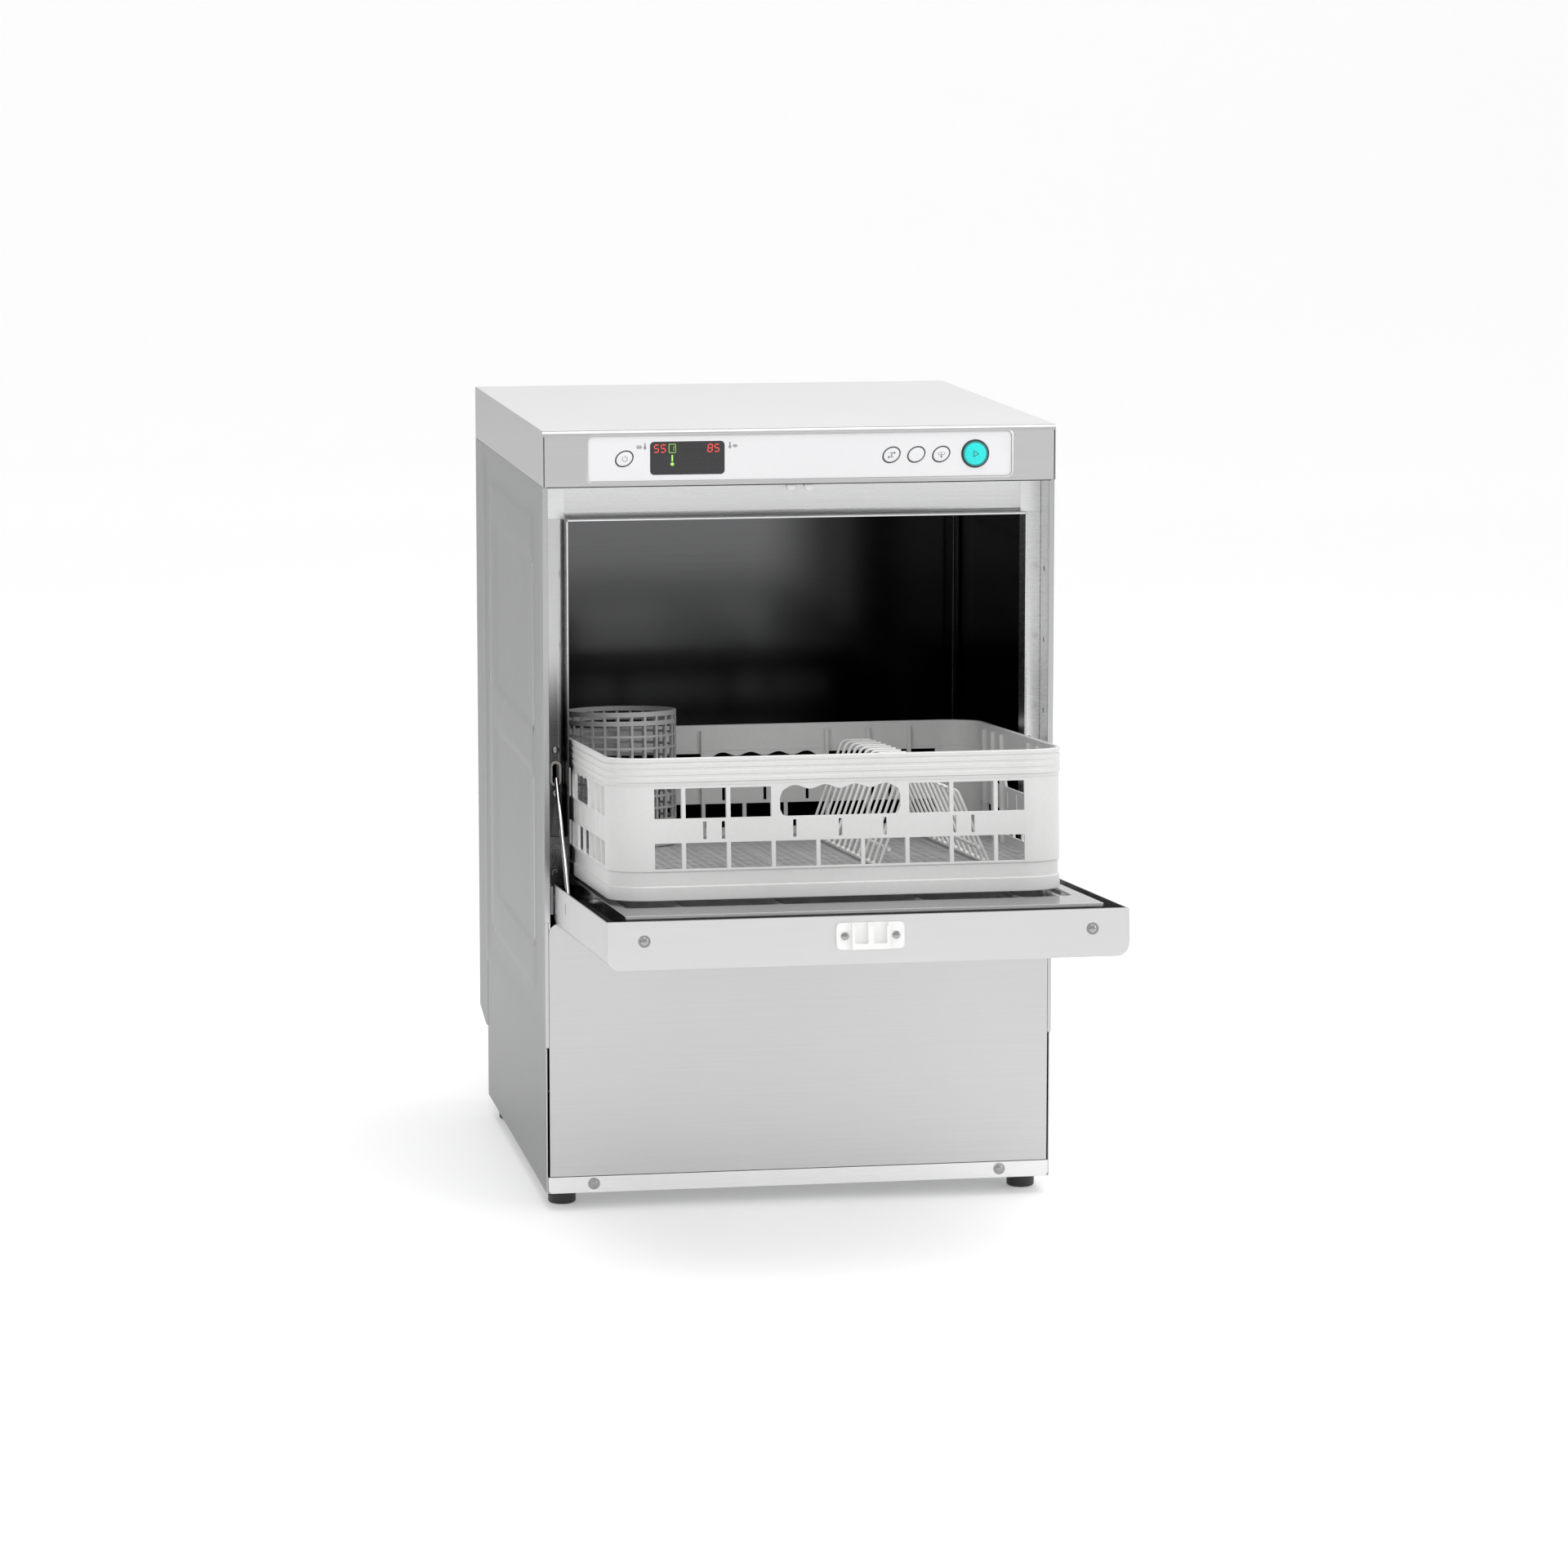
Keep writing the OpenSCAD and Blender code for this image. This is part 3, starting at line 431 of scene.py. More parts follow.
def plate_x(bm, outline, x0, x1, index=0):
    """An outline of (y, z) points made into a plate between two places along X."""
    skin_rings(bm, [[(x, y, z) for y, z in outline] for x in (x0, x1)], index=index)


def ring_y(bm, outer, inner, y0, y1, index=0):
    """A flat ring between two outlines with the same number of points, between two places along Y."""
    corners = ((outer, y0), (outer, y1), (inner, y1), (inner, y0))
    loops = [[(x, y, z) for x, z in line] for line, y in corners]
    skin_rings(bm, loops, closed=True, index=index)


def stroke(bm, points, width, y0, y1, index=0):
    """A drawn line of (x, z) points, laid as a thin raised strip."""
    points = [Vector(p) for p in points]
    left, right = [], []
    for k, p in enumerate(points):
        ahead = points[min(k + 1, len(points) - 1)] - points[max(k - 1, 0)]
        normal = Vector((-ahead.y, ahead.x)).normalized() * width / 2
        left.append(p + normal)
        right.append(p - normal)
    plate_y(bm, [(p.x, p.y) for p in left + right[::-1]], y0, y1, index)


def arc(centre, radius, first, last, count=16):
    """Points along an arc from the first to the last angle, in degrees."""
    angles = [math.radians(first + (last - first) * k / count) for k in range(count + 1)]
    return [(centre[0] + radius * math.cos(t), centre[1] + radius * math.sin(t)) for t in angles]


def grid_shell(bm, us, vs, is_solid, place, closed=False, inner_index=0):
    """A sheet with thickness over a grid, with openings where is_solid says no. place(u, v, side)
    gives a point, with side 0 on the outer skin and 1 on the inner one."""
    columns = len(us) if closed else len(us) - 1
    rows = len(vs) - 1
    made = {}

    def point(i, j, side):
        key = (i % len(us), j, side)
        if key not in made:
            made[key] = bm.verts.new(place(us[key[0]], vs[j], side))
        return made[key]

    def solid(i, j):
        if not closed and not 0 <= i < columns:
            return False
        return 0 <= j < rows and is_solid(i % columns, j)

    for i in range(columns):
        for j in range(rows):
            if not solid(i, j):
                continue
            square = [(i, j), (i + 1, j), (i + 1, j + 1), (i, j + 1)]
            bm.faces.new([point(a, b, 0) for a, b in square])
            bm.faces.new([point(a, b, 1) for a, b in square[::-1]]).material_index = inner_index
            beside = [(i, j - 1), (i + 1, j), (i, j + 1), (i - 1, j)]
            for k, other in enumerate(beside):
                if not solid(*other):
                    a, b = square[k], square[(k + 1) % 4]
                    bm.faces.new([point(*b, 0), point(*a, 0), point(*a, 1), point(*b, 1)])


def add_shape(bm, other, matrix=Matrix.Identity(4), index=None):
    """Adds a copy of another shape, moved by a matrix."""
    made = {v: bm.verts.new(matrix @ v.co) for v in other.verts}
    for face in other.faces:
        copy = bm.faces.new([made[v] for v in face.verts])
        copy.material_index = face.material_index if index is None else index


# The most materials that one piece has
MOST_MATERIALS = 4


def carve(bm, cutter, crossing=False):
    """The shape bm with the cutter's volume taken away; both are used up. crossing is for shapes that
    overlap themselves."""
    holders = []
    for shape, label in ((bm, "carved"), (cutter, "cutter")):
        bmesh.ops.recalc_face_normals(shape, faces=shape.faces)
        mesh = bpy.data.meshes.new(label)
        shape.to_mesh(mesh)
        shape.free()
        for _ in range(MOST_MATERIALS):
            mesh.materials.append(None)
        holder = bpy.data.objects.new(label, mesh)
        scene.collection.objects.link(holder)
        holders.append(holder)
    cut = holders[0].modifiers.new("cut", "BOOLEAN")
    cut.operation = "DIFFERENCE"
    cut.solver = "EXACT"
    cut.use_self = crossing
    cut.object = holders[1]
    bpy.context.view_layer.update()
    shown = holders[0].evaluated_get(bpy.context.evaluated_depsgraph_get())
    made = bmesh.new()
    made.from_mesh(shown.data)
    for holder in holders:
        mesh = holder.data
        bpy.data.objects.remove(holder)
        bpy.data.meshes.remove(mesh)
    return made


def round_edges(bm, chosen, width, segments):
    """Rounds the edges whose two ends both pass the test."""
    edges = [e for e in bm.edges if chosen(e.verts[0].co, e.verts[1].co)]
    bmesh.ops.bevel(
        bm, geom=edges, offset=width, offset_type="OFFSET", segments=segments, profile=0.5, affect="EDGES"
    )


def make(name, bm, matrix, body, materials, replaces=(), bevel=0.3, segments=2, angle=32):
    """Turns a shape into a finished piece that rides on a body."""
    bmesh.ops.recalc_face_normals(bm, faces=bm.faces)
    bm.transform(matrix)
    mesh = bpy.data.meshes.new(name)
    bm.to_mesh(mesh)
    bm.free()
    mesh.polygons.foreach_set("use_smooth", [True] * len(mesh.polygons))
    piece = bpy.data.objects.new(name, mesh)
    scene.collection.objects.link(piece)
    for material in materials:
        mesh.materials.append(material)
    if bevel:
        rounding = piece.modifiers.new("edges", "BEVEL")
        rounding.width = bevel * MM
        rounding.segments = segments
        rounding.limit_method = "ANGLE"
        rounding.angle_limit = math.radians(angle)
        rounding.harden_normals = True
        rounding.miter_outer = "MITER_ARC"
    else:
        mesh.set_sharp_from_angle(angle=math.radians(angle))
    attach(piece, body)
    if replaces:
        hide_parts(*replaces)
    return piece


# ---------- floor, light and camera ----------


def build_stage():
    """A pale floor that bends up into a wall far behind, in metres."""
    bm = bmesh.new()
    reach, rise, bend = 9.0, 4.0, 2.5
    profile = [(-reach, 0.0), (reach - bend, 0.0)]
    profile += [(reach - bend + bend * math.sin(t), bend - bend * math.cos(t))
                for t in [math.radians(9 * k) for k in range(1, 11)]]
    profile.append((reach, rise))
    rows = [[bm.verts.new((x, y, z)) for x in (-reach, reach)] for y, z in profile]
    for a, b in zip(rows, rows[1:]):
        bm.faces.new([a[0], a[1], b[1], b[0]])
    mesh = bpy.data.meshes.new("floor")
    bm.to_mesh(mesh)
    bm.free()
    mesh.polygons.foreach_set("use_smooth", [True] * len(mesh.polygons))
    floor = bpy.data.objects.new("floor", mesh)
    scene.collection.objects.link(floor)
    paint = (0.92, 0.92, 0.92)
    pale = new_material("pale_floor", paint, 0.6)
    spread_colour(pale, [add_noise(pale, 1.5)], paint, 0.004)
    shader = principled(pale)
    shader.inputs["Emission Color"].default_value = (1, 1, 1, 1)
    shader.inputs["Emission Strength"].default_value = 0.24
    mesh.materials.append(pale)


# Brightness of the studio by direction, as (place from -1 to 1 along an axis, shade)
STUDIO_SHADES = {
    "X": ((-1.0, 0.16), (-0.72, 0.22), (-0.30, 1.0)),
    "Z": ((-0.5, 0.62), (0.5, 1.0)),
}


def build_world():
    """A pale studio, darker to the left and low down."""
    world = bpy.data.worlds.new("studio")
    scene.world = world
    world.use_nodes = True
    tree = world.node_tree
    place = tree.nodes.new("ShaderNodeTexCoord")
    split = tree.nodes.new("ShaderNodeSeparateXYZ")
    tree.links.new(place.outputs["Generated"], split.inputs[0])
    shades = []
    for axis, stops in STUDIO_SHADES.items():
        ramp = tree.nodes.new("ShaderNodeValToRGB")
        elements = ramp.color_ramp.elements
        for number, (at, shade) in enumerate(stops):
            stop = elements[number] if number < 2 else elements.new((at + 1) / 2)
            stop.position = (at + 1) / 2
            stop.color = (shade, shade, shade, 1)
        tree.links.new(map_range(tree, split.outputs[axis], ((-1, 1), (0, 1))), ramp.inputs["Fac"])
        shades.append(ramp.outputs["Color"])
    background = tree.nodes["Background"]
    tree.links.new(multiply(tree, *shades), background.inputs["Color"])
    background.inputs["Strength"].default_value = 0.85


def soft_light(name, place, aim, size, power):
    """A rectangular lamp that faces a point."""
    light = bpy.data.lights.new(name, "AREA")
    light.shape = "RECTANGLE"
    light.size, light.size_y = size
    light.energy = power
    lamp = bpy.data.objects.new(name, light)
    scene.collection.objects.link(lamp)
    lamp.location = place
    lamp.rotation_euler = (Vector(aim) - Vector(place)).to_track_quat("-Z", "Y").to_euler()


def build_camera():
    """The camera stands 5 m in front and a little to the left, and looks slightly down."""
    camera = bpy.data.objects.new("camera", bpy.data.cameras.new("camera"))
    scene.collection.objects.link(camera)
    camera.location = (-0.8445, -4.9808, 1.1200)
    look_down, look_right = 8.451, 9.614
    camera.rotation_euler = (math.radians(90 - look_down), 0, math.radians(-look_right))
    camera.data.sensor_width = 36
    camera.data.lens = 129.48
    camera.data.clip_end = 60
    scene.camera = camera


scene.view_settings.view_transform = "Standard"
build_stage()
build_world()
build_camera()
middle = (cad_box[0] + cad_box[1]) / 2
soft_light("overhead", (0.3, -0.6, 3.0), middle, (3.0, 2.4), 42)
soft_light("left_front", (-3.2, -2.6, 2.2), middle, (2.0, 2.4), 40)
soft_light("right_front", (3.0, -2.8, 1.6), middle, (1.4, 2.6), 26)

# ---------- screws and bolts ----------

ORIGIN = (0, 0, 0)
UP = (0, 0, 1)
FRONT = (0, -1, 0)
BACK = (0, 1, 0)


# Line of the jambs' screws and slots, and the plane of the jambs' front faces
JAMB_X = 215
JAMB_FACE = 35


def screw_head(radius, height, washer=0.0):
    """A pan head with a cross recess, its seat at the origin and its top along +Z."""
    bm = bmesh.new()
    wall, recess_floor, washer_share = 0.25, 0.35, 0.22
    dome = [(0, 0), (radius, 0), (radius, height * wall)]
    for k in range(1, 5):
        t = math.radians(18 * k)
        dome.append((radius * math.cos(t), height * (wall + (1 - wall) * math.sin(t))))
    dome.append((0, height))
    lathe(bm, dome, ORIGIN, UP, 32)
    cross = bmesh.new()
    arm, half = radius * 0.55, radius * 0.11
    block(cross, (-arm, -half, height * recess_floor), (arm, half, height + 1))
    # The second bar is a hair shorter, so that the two never share a face
    block(cross, (-half, -arm * 0.999, height * (recess_floor + 0.002)), (half, arm * 0.999, height + 1.1))
    bm = carve(bm, cross)
    if washer:
        flat = bmesh.new()
        thick = height * washer_share
        lathe(flat, [(0, 0), (washer, 0), (washer, thick), (0, thick)], ORIGIN, UP, 36)
        add_shape(bm, flat)
        flat.free()
    return bm


def hex_bolt(radius, height, washer, washer_h):
    """A hexagon head on a big washer, its seat at the origin and its top along +Z."""
    bm = bmesh.new()
    lathe(bm, [(0, 0), (washer, 0), (washer, washer_h), (0, washer_h)], ORIGIN, UP, 40)
    rod(bm, (0, 0, washer_h * 0.5), (0, 0, washer_h + height * 0.7), radius, 6)
    rod(bm, (0, 0, washer_h + height * 0.6), (0, 0, washer_h + height), radius * 0.62, 24, radius * 0.5)
    return bm


def facing(place, direction, turn=0):
    """A matrix that stands a head at a place with its top along a direction."""
    spin = Matrix.Rotation(math.radians(turn), 4, "Z")
    return Matrix.Translation(place) @ Vector(direction).to_track_quat("Z", "Y").to_matrix().to_4x4() @ spin


def build_screws():
    """Heads on the plinth, the jambs, the door's tip and its latch, each turned a little differently."""
    bm = bmesh.new()
    head = screw_head(3.9, 1.5, 5.4)
    for x, turn in ((-187, 20), (183, -35)):
        add_shape(bm, head, facing((x, 0.35, 8.5), FRONT, turn))
    small = screw_head(3.3, 1.6)
    bolt = hex_bolt(4.0, 4.0, 6.2, 1.2)
    for s in (-1, 1):
        for z, turn in ((396, 30), (357, -12)):
            add_shape(bm, small, facing((s * JAMB_X, JAMB_FACE, z), FRONT, turn))
        for z, turn in ((305.5, 10), (285.5, 34)):
            add_shape(bm, bolt, facing((s * (JAMB_X + 0.2), 32.8, z), FRONT, turn))
    steels = [SCREW_STEEL]
    make("cabinet_screws_detail", bm, CABINET, "cabinet", steels, ["cabinet_screws"], 0.12)
    outermost = local_box("door_screws", DOOR)[0].y
    bm = bmesh.new()
    head = screw_head(3.6, 1.45, 5.2)
    line = -1.7
    for x, turn in ((-190, 8), (190, -28)):
        add_shape(bm, head, facing((x, -351.3, line), FRONT, turn))
    latch_head = screw_head(3.4, 1.1)
    for x, turn in ((-21.8, 42), (21.8, 15)):
        add_shape(bm, latch_head, facing((x, outermost + 1.2, line), FRONT, turn))
    make("door_screws_detail", bm, DOOR, "door", steels, ["door_screws"], 0.12)


# ---------- lid and controls ----------


def build_lid():
    """Folded lid with a window for the control panel, its bottom plate, dark strips as painted shadow in the
    gap round its lower edge, and a pressed rim.
    """
    low, high = lid_low, lid_high
    fold_x = high.x - 1.3
    top, front, edge = high.z - 0.01, low.y + 0.01, high.x - 0.1

    def is_side_edge(a, b):
        return min(a.z, b.z) > top and abs(a.x - b.x) < 0.1 and abs(a.x) > edge

    bm = bmesh.new()
    block(bm, low, high)
    round_edges(bm, lambda a, b: min(a.z, b.z) > top and max(a.y, b.y) < front, 3.6, 5)
    round_edges(bm, is_side_edge, 1.0, 3)
    room = bmesh.new()
    block(room, (low.x + SHEET, low.y + SHEET, low.z - 5), (high.x - SHEET, high.y - SHEET, high.z - SHEET))
    bm = carve(bm, room)
    window = bmesh.new()
    centre, (half_w, half_h) = front_view(overlay_low, overlay_high)
    outline = rounded_outline(half_w + 0.2, half_h + 0.2, 4, 6, centre)
    plate_y(window, outline, low.y - 2, low.y + 4)
    for s in (-1, 1):
        block(window, (s * fold_x - 0.4, low.y - 1, low.z - 1), (s * fold_x + 0.4, low.y + 1.0, high.z - 5))
    bm = carve(bm, window)
    # The lid's top faces take the brighter copy of its steel, as painted light
    for face in bm.faces:
        at = face.calc_center_median()
        if at.z > high.z - 0.05:
            face.material_index = 1
        # Faces of the thin cuts at the front folds take the dark steel, as painted shade
        elif abs(abs(at.x) - fold_x) < 0.45 and at.y < low.y + 1.1 and at.z < high.z - 4:
            face.material_index = 2
    steels = [LID_STEEL, LID_TOP_PAINTED_LIGHT, DARK_STEEL]
    make("lid", bm, CABINET, "cabinet", steels, ["top_cover"], 0.35, 3)
    # Bottom of the lid, which closes it over the mouth, and dark strips painted as the shadow in the gap
    # round its lower edge
    half_gap = high.x - 4
    bm = bmesh.new()
    block(bm, (-half_gap, low.y + 1.4, low.z + 0.6), (half_gap, JAMB_FACE - 0.2, low.z + 1.4))
    make("lid_bottom", bm, CABINET, "cabinet", [JAMB_STEEL], (), 0.2)
    bm = bmesh.new()
    block(bm, (-half_gap, low.y + 1.5, low.z - 1.0), (half_gap, low.y + 2.5, low.z + 0.5))
    for s in (-1, 1):
        edge = s * (high.x - 1.7)
        block(bm, (edge, low.y + 1.5, low.z - 0.4), (edge - s, high.y - 3, low.z + 0.5))
    make("lid_gap_painted_shadow", bm, CABINET, "cabinet", [DARK_STEEL], (), 0.1)
    # Raised rim pressed round the panel's opening
    bm = bmesh.new()
    outer = rounded_outline(half_w + 1.7, half_h + 1.7, 5.5, 8, centre)
    inner = rounded_outline(half_w + 0.1, half_h + 0.1, 4, 8, centre)
    ring_y(bm, outer, inner, low.y - 0.01, low.y + 0.9)
    for v in bm.verts:
        if v.co.y < low.y + 0.3:
            near = min((Vector((v.co.x, v.co.z)) - Vector(p)).length for p in inner)
            v.co.y -= 0.5 if near < 0.05 else 0
    make("panel_rim", bm, CABINET, "cabinet", [LID_STEEL], (), 0.15)


# Each button's body, with its CAD node and the sign on its cap
BUTTONS = {
    "power": ("power_button", "power"),
    "programme_1": ("programme_button_1", "cycle"),
    "programme_2": ("programme_button_2", None),
    "programme_3": ("programme_button_3", "drain"),
}
CAP_A, CAP_B, CAP_LEAN = 6.85, 6.2, 0.25
LINE = 0.42


def cap_oval(grow, centre):
    """The outline of an oval button's cap, grown all round."""
    return oval_outline(CAP_A + grow, CAP_B + grow, CAP_LEAN, centre)


def icon_power(bm, x, z, y0, y1, index):
    """An open ring with a bar."""
    stroke(bm, [(x + 0.3 + a, z + b) for a, b in arc((0, 0), 2.3, 125, 415, 22)], 0.4, y0, y1, index)
    stroke(bm, [(x + 0.5, z + 0.6), (x + 0.7, z + 2.9)], 0.4, y0, y1, index)


def icon_cycle(bm, x, z, y0, y1, index):
    """Two arrows that chase each other."""
    for s in (-1, 1):
        bow = arc((0, 0), 1.5, 90, 265, 10)
        line = [(x + s * 0.9 + s * a * 0.9, z + s * (b * 0.62 - 1.0)) for a, b in bow]
        stroke(bm, line, LINE, y0, y1, index)
    stroke(bm, [(x - 2.8, z - 1.9), (x + 1.6, z - 1.9)], LINE, y0, y1, index)
    stroke(bm, [(x - 1.6, z + 1.9), (x + 2.8, z + 1.9)], LINE, y0, y1, index)
    for s in (1, -1):
        tip = [(x + s * 2.2, z + s * 3.0), (x + s * 3.7, z + s * 1.9), (x + s * 2.2, z + s * 0.8)]
        plate_y(bm, tip, y0, y1, index)


def icon_drain(bm, x, z, y0, y1, index):
    """A basin with an arrow that points down out of it."""
    basin = [(x - 3.4, z + 1.6), (x - 2.2, z - 0.6), (x + 2.2, z - 0.6), (x + 3.4, z + 1.6)]
    stroke(bm, basin, LINE, y0, y1, index)
    stroke(bm, [(x - 1.7, z + 1.7), (x + 1.7, z + 1.7)], 0.36, y0, y1, index)
    stroke(bm, [(x, z + 0.9), (x, z - 2.6)], LINE, y0, y1, index)
    plate_y(bm, [(x - 1.1, z - 1.9), (x + 1.1, z - 1.9), (x, z - 3.4)], y0, y1, index)


ICONS = {"power": icon_power, "cycle": icon_cycle, "drain": icon_drain}


def build_overlay():
    """The control panel with its openings, printed rings round the buttons and signs by the display."""
    low, high = overlay_low, overlay_high
    centre, half = front_view(low, high)
    bm = bmesh.new()
    plate_y(bm, rounded_outline(*half, 3.8, 8, centre), low.y, high.y)
    holes = bmesh.new()
    caps = [(front_view(*local_box(node, CABINET))[0][0], centre[1]) for node, _ in BUTTONS.values()]
    for spot in caps:
        plate_y(holes, cap_oval(0.15, spot), low.y - 2, high.y + 2)
    start_at, (_, start_radius) = front_view(*local_box("start_button", CABINET))
    start_at = (start_at[0], centre[1])
    ends = [(start_at[0], y, centre[1]) for y in (low.y - 2, high.y + 2)]
    rod(holes, *ends, start_radius + 0.25, 48)
    display, (display_w, display_h) = front_view(display_low, display_high)
    plate_y(holes, rounded_outline(display_w + 0.1, display_h + 0.1, 3.6, 6, display), low.y - 2, high.y + 2)
    bm = carve(bm, holes)
    make("control_panel", bm, CABINET, "cabinet", [OVERLAY], ["control_overlay"], 0.1)
    bm = bmesh.new()
    y0, y1 = low.y - 0.12, low.y + 0.05
    for spot in caps:
        ring_y(bm, cap_oval(1.25, spot), cap_oval(0.2, spot), y0, y1)
    ring_y(bm, *[oval_outline(r, r, 0, start_at, 64) for r in (12.7, 11.6)], y0, y1)
    make("button_rings", bm, CABINET, "cabinet", [PRINT], (), 0)
    # Thermometers on both sides of the display, with a basin and a drop
    bm = bmesh.new()
    for x in (display_low.x - 4.6, display_high.x + 4.8):
        z = display_high.z - 3.5
        stroke(bm, [(x, z - 1.2), (x, z + 2.6)], 1.3, y0, y1)
        plate_y(bm, [(x + p, z - 1.9 + q) for p, q in arc((0, 0), 1.35, 0, 345, 14)], y0, y1)
    x, z = display_low.x, display_high.z - 4.4
    for k in range(3):
        stroke(bm, [(x - 12.0 + k * 1.6, z + 1.4), (x - 11.1 + k * 1.6, z + 1.4)], 0.7, y0, y1)
    basin = [(x - 12.4, z + 0.7), (x - 7.0, z + 0.7), (x - 7.8, z - 1.5), (x - 11.6, z - 1.5)]
    plate_y(bm, basin, y0, y1)
    x = display_high.x + 9.4
    plate_y(bm, [(x + p, z + q * 0.62) for p, q in arc((0, 0), 2.2, 0, 345, 16)], y0, y1)
    make("display_signs", bm, CABINET, "cabinet", [FAINT_PRINT], (), 0)


# The bars that make up each digit of the display
SEGMENTS = {"1": "bc", "5": "afgcd", "8": "abcdefg"}


def digit(bm, sign, x, z, width, height, y0, y1, index):
    """One seven-segment digit with its lower left corner at (x, z)."""
    thick, lean, gap = height * 0.11, 0.12, 0.4
    half = height / 2
    bars = {
        "a": ((0, height), (width, height)),
        "b": ((width, half), (width, height)),
        "c": ((width, 0), (width, half)),
        "d": ((0, 0), (width, 0)),
        "e": ((0, 0), (0, half)),
        "f": ((0, half), (0, height)),
        "g": ((0, half), (width, half)),
    }
    for key in SEGMENTS[sign]:
        (xa, za), (xb, zb) = bars[key]
        step = Vector((xb - xa, zb - za)).normalized() * gap
        ends = [(xa + step.x, za + step.y), (xb - step.x, zb - step.y)]
        stroke(bm, [(x + p + lean * q, z + q) for p, q in ends], thick, y0, y1, index)


def build_display():
    """Dark glass with two lit numbers, a lit pointer, and segments that are off."""
    low, high = display_low, display_high
    red, green, ghost = range(3)
    centre, half = front_view(low, high)
    bm = bmesh.new()
    plate_y(bm, rounded_outline(*half, 3.5, 8, centre), low.y - 0.35, high.y)
    make("display_glass", bm, CABINET, "cabinet", [DISPLAY], ["display_window"], 0.4, 3)
    bm = bmesh.new()
    y0, y1 = low.y - 0.42, low.y - 0.30
    top = high.z - 9.2
    for sign, x in (("5", low.x + 3.2), ("5", low.x + 9.2), ("8", high.x - 15.2), ("5", high.x - 9.2)):
        digit(bm, sign, x, top, 3.9, 6.4, y0, y1, red)
    box_x = low.x + 19.6
    box_at = (box_x, top + 3.2)
    box_out, box_in = rounded_outline(3.1, 3.9, 0.8, 3, box_at), rounded_outline(2.75, 3.55, 0.6, 3, box_at)
    digit(bm, "1", box_x - 1.6, top + 1.2, 2.6, 4.2, y0, y1, green)
    ring_y(bm, box_out, box_in, y0, y1, green)
    stroke(bm, [(box_x, top - 8.2), (box_x, top - 2.6)], 1.3, y0, y1, green)
    plate_y(bm, [(box_x + p, top - 10.6 + q) for p, q in arc((0, 0), 1.5, 0, 345, 14)], y0, y1, green)
    for x in (low.x + 29, low.x + 36, low.x + 43):
        digit(bm, "8", x, top, 3.4, 6.0, y0, y1, ghost)
    for k in range(9):
        x = low.x + 5 + k * 6.6
        stroke(bm, [(x, low.z + 2.2), (x + 5.2, low.z + 2.2)], 0.5, y0, y1, ghost)
    for x in (low.x + 27, low.x + 36, low.x + 46, low.x + 56):
        at = (x, low.z + 10)
        ring_y(bm, rounded_outline(2.8, 2.6, 1, 3, at), rounded_outline(2.2, 2.0, 0.8, 3, at), y0, y1, ghost)
    make("display_segments", bm, CABINET, "cabinet", [RED_LIGHT, GREEN_LIGHT, GHOST], (), 0)


def build_buttons():
    """Four leaning oval caps on stems, and the round lit start button."""
    mid_z = (overlay_low.z + overlay_high.z) / 2
    face = overlay_low.y - 0.7
    stem = 3
    for body, (node, icon) in BUTTONS.items():
        low, high = local_box(node, CABINET)
        x = (low.x + high.x) / 2
        bm = bmesh.new()
        rings = []
        for grow, y in ((-0.9, face - 0.28), (-0.35, face - 0.2), (0, face + 0.15), (0, high.y - 3)):
            rings.append([(p, y, q) for p, q in cap_oval(grow, (x, mid_z))])
        skin_rings(bm, rings)
        rod(bm, (x, high.y - 4, mid_z), (x, high.y, mid_z), stem)
        if icon:
            ICONS[icon](bm, x, mid_z, face - 0.36, face - 0.2, 1)
        make(node + "_cap", bm, CABINET, body, [OVERLAY, PRINT], [node], 0)
    low, high = local_box("start_button", CABINET)
    (x, _), (_, radius) = front_view(low, high)
    at = (x, face, mid_z)
    lens, base = radius * 0.86, -3.5
    bm = bmesh.new()
    dome = [(lens, 0.85), (radius * 0.8, 1.1), (radius * 0.5, 1.38), (0, 1.5)]
    lathe(bm, [(0, base), (lens, base)] + dome, at, FRONT, 48)
    outside = radius - 0.2
    ring = [(0, base + 0.1), (outside, base + 0.1), (outside, 0.9)]
    ring += [(radius * 0.95, 1.15), (radius * 0.87, 0.8), (0, 0.8)]
    lathe(bm, ring, at, FRONT, 48, 1)
    rod(bm, (x, face + 3, mid_z), (x, high.y, mid_z), stem, index=1)
    play = [(x - 1.6, mid_z - 2.6), (x + 2.9, mid_z), (x - 1.6, mid_z + 2.6)]
    for a, b in zip(play, play[1:] + play[:1]):
        stroke(bm, [a, b], 0.55, face - 1.56, face - 1.2, 2)
    lights = [START_LIGHT, START_RING, PRINT]
    make("start_button_cap", bm, CABINET, "start", lights, ["start_button"], 0)


# ---------- cabinet ----------

PAD_DEPTH = 0.9
GROOVE_DEPTH = 2.3
GROOVE_HALF = 4.6
# Pressed grooves of a side panel: distance behind its front edge, and lowest and highest point
GROOVES = ((411, 172, 598), (78.4, 406, 561), (78.4, 213, 368))
half_width = lid_high.x


def soft_step(value, start, end):
    """0 before start, 1 after end, and a smooth rise between them."""
    t = min(max((value - start) / (end - start), 0), 1)
    return t * t * (3 - 2 * t)


def inside(value, low, high, soft):
    """1 between low and high, with a soft edge at both ends."""
    return soft_step(value, low - soft, low + soft) * (1 - soft_step(value, high - soft, high + soft))


def groove_depth(y, z, at, z0, z1):
    """A pressed groove with round ends about the line y = at."""
    round_end = 4
    away = math.hypot(y - at, max(z0 + round_end - z, z - z1 + round_end, 0))
    return GROOVE_DEPTH * (0.5 + 0.5 * math.cos(math.pi * min(away / GROOVE_HALF, 1)))


